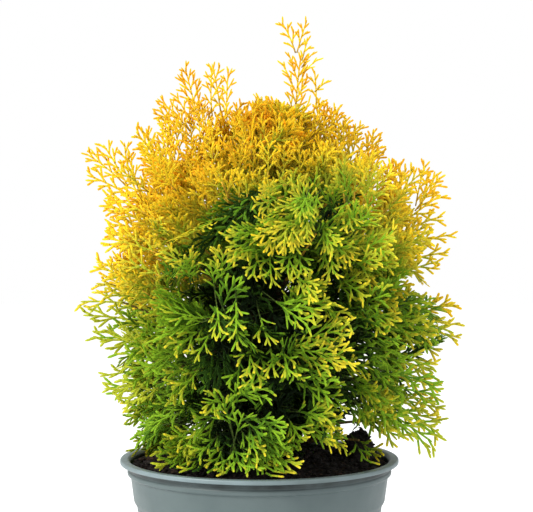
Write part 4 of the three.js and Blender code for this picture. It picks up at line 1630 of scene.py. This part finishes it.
@dataclass
class Foliage:
    """The sprays of every mass: placed by the solids' rule, and more of them in between. A table
    gives its value by height, unless its comment names something else. Angles are in degrees."""

    crown: Crown
    limbs: list[Limb]
    view: View = field(default_factory=View)
    habit: SprayHabit = field(default_factory=SprayHabit)

    # Sprays on a limb: twigs as the solids have them, the fan on a limb with a bough and on one
    # without, and inner ones near its foot.
    twigs: int = 8
    fan: tuple[int, int] = (7, 9)
    inner: int = 5
    twig_angle: Pair = (80.0, 38.0)
    fan_angle: Pair = (58.0, 26.0)
    inner_angle: float = 60.0
    golden_turn: float = 137.5
    mass_turn: float = 61.0
    rising: Table = ((240, 0), (300, 0.9))

    # The search for room: how far the directions scatter, how many are tried, the distance
    # between the places tested, and how far a spray's plane turns.
    twig_scatter: float = 0.45
    fan_scatter: float = 0.22
    tip_scatter: float = 0.2
    tries: int = 32
    probe: float = 2.0
    roll: float = 70.0

    # Lengths: the shortest, the longest of each kind, and the share of its room that a spray
    # fills. Where there are two, they are a least and a random part.
    shortest: float = 15.0
    longest: float = 58.0
    fan_longest: Pair = (44.0, 10.0)
    inner_longest: float = 34.0
    filled: Pair = (0.8, 0.24)

    # A spray's breadth, the millimetres it may stand out of the close foliage, and its grade, each
    # with a random part, its bare share, what its grade is multiplied by, and the share of sprays
    # that is kept, where those that droop above a height are all left out.
    breadth: Pair = (0.4, 0.07)
    spare: Pair = (2.0, 3.0)
    grade: Pair = (0.9, 0.2)
    bare: Table = ((165, 0.28), (215, 0.05))
    finer: Table = ((250, 1), (310, 0.84))
    thinned: Table = ((150, 0.4), (215, 1))
    level_above: float = 285.0

    # The tints at the outside on each side of the plant, and how much higher the front's lie for
    # each millimetre to the right.
    left_tones: Table = (
        (140, 3.0), (190, 3.2), (206, 3.5), (220, 3.9), (232, 4.5), (244, 5.5), (260, 6.2),
        (275, 6.4), (350, 6.7), (400, 7.7),
    )
    front_tones: Table = (
        (140, 1.2), (170, 1.3), (210, 1.7), (235, 2.2), (255, 2.8), (275, 3.4), (290, 4.4),
        (306, 5.8), (330, 6.5), (400, 7.6),
    )
    right_tones: Table = (
        (140, 3.1), (175, 3.3), (200, 3.3), (240, 4.4), (268, 5.4), (295, 6.2), (350, 6.7), (400, 7.7),
    )
    back_tones: Table = (
        (140, 2.8), (200, 3.2), (250, 4.0), (285, 5.4), (310, 6.2), (340, 6.6), (400, 6.9),
    )
    front_slant: float = 0.25

    # Painted shade: how many tints deeper a spray is for each millimetre inside the crown, from a lit
    # depth on and down to a dark one, multiplied by one for x that is least on the left, where the key
    # light falls, and on the masses' sprays, painted shade on the right by x, multiplied by one for the
    # height.
    lit: float = 10.0
    dark: float = 70.0
    shaded: Table = ((215, 0.09), (260, 0.065), (295, 0.045), (340, 0.02))
    shaded_left: Table = ((-64, 0.12), (-28, 1))
    darker: Table = ((-30, 0), (10, 0.8), (45, 1.5))
    darker_low: Table = ((225, 1), (275, 0))

    # The sunniest tint of an inner spray, how much higher it counts by x, how much tints vary by
    # tone, and round patches on the front: x, z, size and how many tints sunnier.
    # Inner sprays are painted shade: a tint deeper than the crown where they end, and no sunnier than
    # this.
    inner_sunniest: Table = ((230, 1.2), (285, 5.0))
    inner_left: Table = ((-50, 35), (-15, 0))
    uneven: Table = ((2, 0.8), (3, 0.6), (6, 0.4), (7, 0.35))
    patches: tuple[Four, ...] = (
        (40, 295, 17, -1.8), (-37, 243, 14, -1.6), (-65, 185, 28, 0.4), (60, 240, 26, 0.6),
        (-62, 224, 15, 0.8), (-104, 222, 12, -0.8),
    )

    # Shoots that the photograph shows: how much longer their foot is beyond a distance from the
    # axis, their bare share, and what their breadth and grade are multiplied by, the grade less
    # a part in front, where the front is given by the distance from the middle.
    low_stem: Table = ((225, 0.8), (245, 0))
    outer: float = 90.0
    drawn_bare: Table = ((160, 0.3), (230, 0.1))
    drawn_breadth: Table = ((320, 1), (345, 0.88))
    drawn_grade: Table = ((240, 1.0), (300, 0.92), (335, 0.8))
    front_grade: Table = ((160, 0.02), (215, 0.08), (300, 0.06))
    front_half: Table = ((50, 1), (90, 0))

    # Turns of them about the pot's axis, each an angle, a scale and one number more: the height
    # below which edge shoots are taken along, how many tints sunnier front shoots are, and the
    # height above which the front's middle is taken, with its widest x and greatest height.
    edge_turns: tuple[Triple, ...] = (
        (-50, 0.95, 322), (-30, 0.92, 305), (-13, 0.82, 302),
        (13, 0.82, 302), (30, 0.92, 305), (50, 0.95, 322),
    )
    # Painted shade: the copies drawn at 0.78 of the distance, deeper in the crown, are 1.8 to 2.5 tints
    # darker.
    front_turns: tuple[Triple, ...] = (
        (180, 1.0, 0.0), (20, 0.78, -2.5), (-20, 0.78, -2.3), (160, 0.78, -1.8), (200, 0.78, -1.8),
    )
    side_turns: tuple[Triple, ...] = ((90, 0.9, 152), (-90, 0.86, 120))
    side_part: Pair = (38.0, 205.0)

    # How many tints sunnier they are: front shoots by tone, edge shoots below a height on the
    # right and elsewhere, their turned copies, and low shoots.
    front_lift: Table = ((0.9, 1.5), (1.5, 1.8), (2.2, 0.9), (5, 0.2))
    edge_lift: Triple = (230.0, 0.9, 0.4)
    # Painted shade: the turned copies of edge shoots are up to 0.7 tints darker low down.
    edge_again_lift: Table = ((200, -0.7), (250, 0))
    low_lift: float = 0.1

    # Where the photograph shows low side shoots behind: left, right, behind and below which other
    # sprays are left out, and the share of them that stays.
    openings: tuple[tuple[float, float, float, float, float], ...] = (
        (-200, -45, 5, 214, 0.25), (-200, -62, 5, 262, 0.6), (50, 200, 5, 205, 0.25),
        (12, 92, 5, 158, 0), (34, 84, 48, 149, 0),
    )

    # Short sprays on the trunk, painted shade in the crown's middle that is darkest low down, their
    # length with a random part, and their tint.
    core: int = 220
    core_length: Pair = (30.0, 16.0)
    core_tone: Table = ((215, 0), (285, 4.4), (315, 5.5))

    def tone(self, tip: Array, mass: float, seed: Array) -> Array:
        """The tints of sprays: by height, mixed between the four sides by the squares of the sine
        and cosine of the azimuth, deeper inside the crown as painted shade, and uneven by mass and by
        spray.

        Args:
            tip: The sprays' tips.
            mass: The number of their mass.
            seed: Each spray's seed.

        Returns:
            Places in the list of tints, with fractions.
        """
        x, y, height = tip.T
        azimuth = np.arctan2(y, x)
        front = along(self.front_tones, height - self.front_slant * x)
        depth = np.where(np.sin(azimuth) < 0, front, along(self.back_tones, height))
        left, right = along(self.left_tones, height), along(self.right_tones, height)
        across = np.where(np.cos(azimuth) < 0, left, right)
        outside = lerp(depth, across, np.cos(azimuth) ** 2)
        # Painted shade: deeper tints the further inside the crown a spray's tip lies, less on the left.
        inside = np.clip(self.crown.depth(tip), self.lit, self.dark) - self.lit
        inside = inside * along(self.shaded, height)
        inside = inside * along(self.shaded_left, x)
        for patch_x, patch_z, spread, change in self.patches:
            away = (x - patch_x) ** 2 + (height - patch_z) ** 2
            outside = outside + change * np.exp(-0.5 * away / spread**2) * (y < 0)
        varied = along(self.uneven, outside) * swing(seed, Draw.TONE)
        return outside - inside + 0.3 * swing(mass, Draw.MASS_TONE) + varied

    def placed(
        self, limb: Limb, place: Array, aim: Array, spread: Array, seed: Array, most: Array
    ) -> Sprays:
        """Seeks a place for each spray among a number of directions scattered about its aim, and
        takes the roomiest: the room ends at the walls of the mass's space and at the crown.

        Args:
            limb: The limb that carries them.
            place: Where on it each leaves.
            aim: The direction that each would like.
            spread: How far the tries scatter.
            seed: Each spray's seed.
            most: The longest that each may be.

        Returns:
            The sprays, with the length that there is room for.
        """
        root = limb.path.at(place)
        x, _, height = root.T
        tries = np.arange(self.tries)[None, :, None]
        scatter = spread[:, None, None] * swing(seed[:, None, None], 5 * tries + np.arange(1, 4))
        way = unit(aim[:, None] + scatter)
        speed = way @ limb.across.T
        gap = (limb.limits - root @ limb.across.T)[:, None]
        walls = np.where(speed > 1e-6, gap / np.maximum(speed, 1e-6), np.inf).min(axis=-1)
        steps = np.arange(self.probe, self.longest + 1, self.probe)
        probes = root[:, None, None] + way[:, :, None] * steps[:, None]
        free = np.logical_and.accumulate(self.crown.holds(probes), axis=2)
        room = np.minimum(walls, self.probe * free.sum(axis=2))
        best = np.argmax(room, axis=1)
        rows = np.arange(len(root))
        room, way = room[rows, best], way[rows, best]
        side = turned_about(
            square_to(way), way, np.radians(self.roll) * swing(seed, 5 * best + 4)
        )
        least, more = self.filled
        length = np.minimum(room, most) * (least + more * chance(seed, Draw.LENGTH))
        tone = self.tone(root + way * length[:, None], limb.seed, seed)
        # Painted shade on the lower right, away from the key light.
        tone = tone - along(self.darker, x) * along(self.darker_low, height)
        breadth = self.breadth[0] + self.breadth[1] * swing(seed, Draw.BREADTH)
        bare = along(self.bare, height) + 0.14 * chance(seed, Draw.BARE)
        spare = self.spare[0] + self.spare[1] * chance(seed, Draw.SPARE)
        grade = self.grade[0] + self.grade[1] * chance(seed, Draw.GRADE)
        grade = grade * along(self.finer, height)
        return Sprays(root, way, side, length, breadth, bare, tone, spare, grade, seed)

    def on_limb(self, limb: Limb) -> Sprays:
        """The sprays of one mass: the tip's and the twigs' as the solids have them, a fan of
        finer ones left and right in turn in the limb's own plane, and short inner ones.

        Args:
            limb: The mass's limb.

        Returns:
            The sprays.
        """
        fans = self.fan[limb.leafy]
        kind = np.repeat(np.arange(4), [1, self.twigs, fans, self.inner])
        i = np.arange(len(kind))
        twig, fan = i - 1, i - 1 - self.twigs
        seed = limb.seed + 100.0 * i

        def by_kind(tip: Array, twigs: Array, fan: Array, inner: Array) -> Array:
            """The value for each spray's kind."""
            return np.select([kind == 0, kind == 1, kind == 2], [tip, twigs, fan], inner)

        picked = chance(limb.seed, Draw.INNER_PLACE + i)
        step = by_kind(1.0, (twig + 0.5) / self.twigs, (fan + 0.5) / fans, picked)
        start = 0.1 if limb.leafy else limb.bough_end
        place = by_kind(
            0.98, lerp(limb.bough_end, 0.96, step), lerp(start - 0.1, 0.97, step),
            lerp(0.06, 0.5, step),
        )
        heading = limb.path.heading(place)
        quarter = 90 * np.round(swing(limb.seed, Draw.PLANE))
        plane = np.radians(quarter + 35 * swing(limb.seed, Draw.PLANE_TURN))
        spiral = np.radians(self.golden_turn * twig + self.mass_turn * limb.seed)
        turn = by_kind(
            spiral, spiral, plane + np.pi * (fan % 2) + 0.35 * swing(limb.seed, Draw.FAN_TURN + i),
            2 * np.pi * chance(limb.seed, Draw.INNER_TURN + i),
        )
        angle = np.radians(by_kind(
            0.0, lerp(*self.twig_angle, step), lerp(*self.fan_angle, step), self.inner_angle
        ))
        side = turned_about(square_to(heading), heading, turn)
        aim = heading * np.cos(angle)[:, None] + side * np.sin(angle)[:, None]
        lift = along(self.rising, limb.path.at(place)[:, 2]) * by_kind(0.8, 0.8, 1, 1)
        aim = unit(aim + UP * lift[:, None])
        spread = by_kind(self.tip_scatter, self.twig_scatter, self.fan_scatter, self.twig_scatter)
        least, more = self.fan_longest
        flat = least + more * chance(seed, Draw.FAN_LENGTH)
        most = by_kind(self.longest, self.longest, flat, self.inner_longest)
        made = self.placed(limb, place, aim, spread, seed, most)

        across = turned_about(square_to(heading), heading, np.full(len(i), plane))
        lain = unit(across - made.aim * dot(made.aim, across))
        lain = turned_about(lain, made.aim, 0.5 * swing(seed, Draw.LIE))
        made.side = np.where((kind == 2)[:, None], lain, made.side)
        x, _, height = made.root.T
        # Painted shade: inner sprays are a tint deeper and capped by height.
        sunniest = along(self.inner_sunniest, height + along(self.inner_left, x))
        made.tone = np.where(kind == 3, np.minimum(made.tone - 1.0, sunniest), made.tone)
        drooping = (height > self.level_above) & (made.aim[:, 2] < 0)
        kept = (made.length > self.shortest) & ~drooping
        return made.kept(kept & (chance(seed, Draw.THINNED) < along(self.thinned, height)))

    def drawn(self, rows: Array, look: Look, number: int = 0, facing: float = 0.0) -> Sprays:
        """Sprays from their roots' and tips' places.

        Args:
            rows: For each the x, y and z of its root and of its tip.
            look: How they are drawn.
            number: Which of a look's sets they are.
            facing: Where they face, in degrees round the axis from the front.

        Returns:
            The sprays.
        """
        first, breadth, most_roll, apart = look.value
        root, tip = rows[:, :3], rows[:, 3:]
        x, y, height = tip.T
        seed = first + apart * number + np.arange(len(rows), dtype=float)
        longer = np.where(np.hypot(x, y) > self.outer, along(self.low_stem, height), 0)
        root = tip + (root - tip) * (1 + longer)[:, None]
        bare = 1 - (1 - along(self.drawn_bare, height)) / (1 + 0.6 * longer)
        breadth = (breadth + 0.05 * swing(seed, Draw.DRAWN_BREADTH)) / (1 + 0.75 * longer)
        breadth = breadth * along(self.drawn_breadth, height)
        length = np.linalg.norm(tip - root, axis=1)
        aim = unit(tip + UP * (self.habit.droop * length)[:, None] - root)
        away = turned_about(BACK[None], UP, np.radians([facing]))
        roll = np.radians(most_roll) * swing(seed, Draw.DRAWN_ROLL)
        side = turned_about(unit(np.cross(aim, away)), aim, roll)
        tone = self.tone(tip, 1.0, seed)
        spare = np.full(len(rows), 60.0)
        front = along(self.front_half, np.hypot(x, 0.3 * y))
        grade = along(self.drawn_grade, height) - front * along(self.front_grade, height)
        return Sprays(root, aim, side, length, breadth, bare, tone, spare, grade, seed)

    def turned(self, rows: Array, degrees: float, scale: float) -> Array:
        """Rows of shoots turned round the pot's axis.

        Args:
            rows: For each shoot the x, y and z of its root and of its tip.
            degrees: How far they turn.
            scale: What their distances from the axis are multiplied by.

        Returns:
            The turned rows, each a little higher or lower than it was.
        """
        table = rows.reshape(-1, 2, 3).copy()
        c, s = scale * np.cos(np.radians(degrees)), scale * np.sin(np.radians(degrees))
        table[..., :2] = table[..., :2] @ np.array([[c, s], [-s, c]])
        table[..., 2] += 5 * swing(np.arange(len(table)) + degrees, 1)[:, None]
        return table.reshape(-1, 6)

    def opened(self, sprays: Sprays) -> Sprays:
        """Leaves out most of the sprays that would hide the low side shoots from the front.

        Args:
            sprays: The sprays.

        Returns:
            Those that stay.
        """
        x, y, height = sprays.tip().T
        kept = np.full(len(x), True)
        for left, right, behind, below, share in self.openings:
            hiding = (x > left) & (x < right) & (y < behind) & (height < below)
            kept &= ~hiding | (chance(sprays.seed, Draw.OPENED) < share)
        return sprays.kept(kept)

    def on_trunk(self) -> Sprays:
        """Short sprays on the trunk, in dark tints that paint the shade in the crown's middle.

        Returns:
            The sprays.
        """
        seed = 10000.0 + np.arange(self.core)
        root = self.crown.trunk.at(lerp(0.06, 0.9, chance(seed, 1) ** 1.4))
        azimuth = np.radians(self.golden_turn * seed)
        aim = self.crown.outward(azimuth, root[:, 2] + 60)
        aim = unit(aim + 0.3 * np.stack([swing(seed, k) for k in (2, 3, 4)], 1))
        length = self.core_length[0] + self.core_length[1] * chance(seed, 5)
        side = turned_about(square_to(aim), aim, np.radians(90) * swing(seed, 7))
        # Painted shade: the lowest are the darkest tint.
        tone = 0.5 * chance(seed, 6) + along(self.core_tone, root[:, 2])
        breadth, bare, spare, grade = (np.full(len(seed), value) for value in (0.5, 0.1, 0.0, 1.0))
        return Sprays(root, aim, side, length, breadth, bare, tone, spare, grade, seed)

    def front(self, rows: Array, look: Look, number: int = 0, sunnier: float = 0.0) -> Sprays:
        """Front shoots, drawn sunnier than the crown is where they lie.

        Args:
            rows: For each the x, y and z of its root and of its tip.
            look: How they are drawn.
            number: Which of a look's sets they are.
            sunnier: How many tints sunnier they are besides.

        Returns:
            The sprays.
        """
        made = self.drawn(rows, look, number)
        made.tone += sunnier + along(self.front_lift, made.tone)
        return made

    def sprays(self) -> Sprays:
        """All sprays: those of the masses and the trunk, those read off the photograph, and
        these again, turned to the sides that it doesn't show.

        Returns:
            The sprays.
        """
        outline, facade, leader, low, high = (
            np.concatenate([reading.shoots(self.view) for reading in readings])
            for readings in (
                (EDGE,), (FRONT,), (LEADER,), (LOW, LOW_NEAR), (CREST, LEFT_FANS, BROW)
            )
        )
        hidden = [self.on_limb(limb) for limb in self.limbs]
        for number, (angle, scale, below) in enumerate(self.edge_turns):
            rows = self.turned(outline[outline[:, 5] < below], angle, scale)
            more = self.drawn(rows, Look.EDGE_AGAIN, number)
            # Painted shade on the low copies.
            more.tone += along(self.edge_again_lift, more.root[:, 2])
            hidden.append(more)
        # The deeper copies are painted darker, as painted shade.
        for number, (angle, scale, sunnier) in enumerate(self.front_turns):
            rows = self.turned(facade, angle, scale)
            hidden.append(self.front(rows, Look.FRONT_AGAIN, number, sunnier))
        edge = self.drawn(outline, Look.EDGE)
        below, low_right, elsewhere = self.edge_lift
        right = (edge.root[:, 0] > 0) & (edge.root[:, 2] < below)
        edge.tone += np.where(right, low_right, elsewhere)
        side_shoots = self.drawn(low, Look.LOW)
        side_shoots.tone += self.low_lift
        widest, highest = self.side_part
        middle = facade[(np.abs(facade[:, 3]) < widest) & (facade[:, 5] < highest)]
        sides = []
        for number, (angle, scale, above) in enumerate(self.side_turns):
            rows = self.turned(middle[middle[:, 5] > above], angle, scale)
            sides.append(self.drawn(rows, Look.SIDE_AGAIN, number, angle))
        return Sprays.joined([
            self.opened(Sprays.joined(hidden)),
            edge,
            self.front(facade, Look.FRONT),
            side_shoots,
            self.drawn(high, Look.HIGH),
            self.drawn(self.turned(high, 180, 1), Look.HIGH_AGAIN),
            self.drawn(leader, Look.LEADER),
            self.on_trunk(),
            *sides,
        ])

    def build(self) -> None:
        """Grows all sprays and joins their links by tint."""
        sprays = self.sprays()
        links = self.habit.grow(sprays, self.crown)
        log.info("%d sprays of %d links", len(sprays.seed), len(links.tint))
        nodes = {slot: [] for slot in FOLIAGE_SLOTS}
        for part in frame["record"]["subparts"]:
            if part["material_slot"] in nodes:
                nodes[part["material_slot"]].append(part["node"])
        most = MOST_TRIANGLES // len(STRAP_FACES)
        for index, member in enumerate(TINTS):
            leaf = member.value
            chosen = np.flatnonzero(links.tint == index)
            material = leaf.material()
            for number in range(0, len(chosen), most):
                part = links.kept(chosen[number : number + most])
                name = f"sprays_{leaf.name}_{number // most + 1}"
                dressed(part.shape().piece(name, material, False), leaf.slot, *nodes[leaf.slot])
        green = Bark("green_twig", (0.03, 0.055, 0.012), (0.11, 0.15, 0.03))
        golden = Bark("golden_twig", (0.34, 0.22, 0.03), (0.62, 0.42, 0.055))
        for value, bark in ((GREEN_STALK, green), (GOLDEN_STALK, golden)):
            stalks = links.kept(links.tint == value).shape()
            dressed(stalks.piece(f"{bark.name}_stalks", bark.material()), "bark")


# Studio


@dataclass
class Studio:
    """A pale floor, soft light and the photograph's camera."""

    eye: Triple = (0.0043, -0.779, 0.253)  # Where the camera is, in metres
    lens: float = 85.71  # Its focal length, in millimetres
    sensor: float = 36.0  # The width of its picture behind the lens, in millimetres
    gamma: float = 0.8  # The picture's gamma
    floor_radius: float = 6000.0  # The floor's radius, in millimetres

    def camera(self) -> None:
        """A level camera that looks along +Y."""
        data = bpy.data.cameras.new("camera")
        data.lens, data.sensor_width, data.sensor_fit = self.lens, self.sensor, "HORIZONTAL"
        made = bpy.data.objects.new("camera", data)
        made.location = self.eye
        made.rotation_euler = (np.pi / 2, 0, 0)
        bpy.context.scene.collection.objects.link(made)
        bpy.context.scene.camera = made

    def floor(self) -> None:
        """A wide pale disc under the pot."""
        sheet = Sheet("floor_paper")
        colour = sheet.ramp(sheet.noise(3, 2), [(0.3, (0.86, 0.87, 0.88)), (0.7, (0.9, 0.9, 0.91))])
        sheet.set(Base_Color=colour, Roughness=0.9)
        sheet.set(Emission_Color=(1, 1, 1, 1), Emission_Strength=0.15)
        sides, below = 64, 0.2
        here = np.arange(sides)
        turn = 2 * np.pi * here / sides
        points = np.full((sides + 1, 3), (0, 0, -below))
        points[:sides, 0] = self.floor_radius * np.cos(turn)
        points[:sides, 1] = self.floor_radius * np.sin(turn)
        faces = np.stack([here, (here + 1) % sides, np.full(sides, sides)], 1)
        floor = Shape(points, faces).piece("floor", sheet.material)

    def light(self, name: str, at: Triple, size: float, watts: float, tone: Colour) -> None:
        """A square soft light that faces the crown.

        Args:
            name: Its name.
            at: Where it is, in metres.
            size: Its side, in metres.
            watts: Its power.
            tone: Its colour.
        """
        data = bpy.data.lights.new(name, "AREA")
        data.energy, data.size, data.color = watts, size, tone
        made = bpy.data.objects.new(name, data)
        made.location = at
        aim = np.array([0, 0, 0.25]) - np.array(at)
        pitch = np.arctan2(np.hypot(aim[0], aim[1]), -aim[2])
        made.rotation_euler = (pitch, 0, np.arctan2(-aim[0], aim[1]))
        bpy.context.scene.collection.objects.link(made)

    def build(self) -> None:
        """Makes the camera, the floor and the light."""
        self.camera()
        self.floor()
        self.light("key", (-0.95, -0.75, 1.0), 0.6, 23, (1, 0.985, 0.96))
        self.light("fill", (0.95, -0.6, 0.7), 0.9, 4, (0.96, 0.98, 1))
        world = bpy.data.worlds.new("studio")
        world.use_nodes = True
        back = world.node_tree.nodes["Background"]
        back.inputs["Color"].default_value = (1, 1, 1, 1)
        back.inputs["Strength"].default_value = 1.0
        bpy.context.scene.world = world
        bpy.context.scene.view_settings.view_transform = "Standard"
        bpy.context.scene.view_settings.gamma = self.gamma


def main() -> None:
    """Builds the studio, the pot, the soil, the wood and the foliage, and notes the sizes."""
    logging.basicConfig(level=logging.INFO, format="%(name)s: %(message)s")
    Studio().build()
    NurseryPot().build()
    PottingMix().build()
    crown = Crown()
    limbs = crown.limbs()
    Woodwork(crown, limbs).build()
    Foliage(crown, limbs).build()


if __name__ == "__main__":
    main()
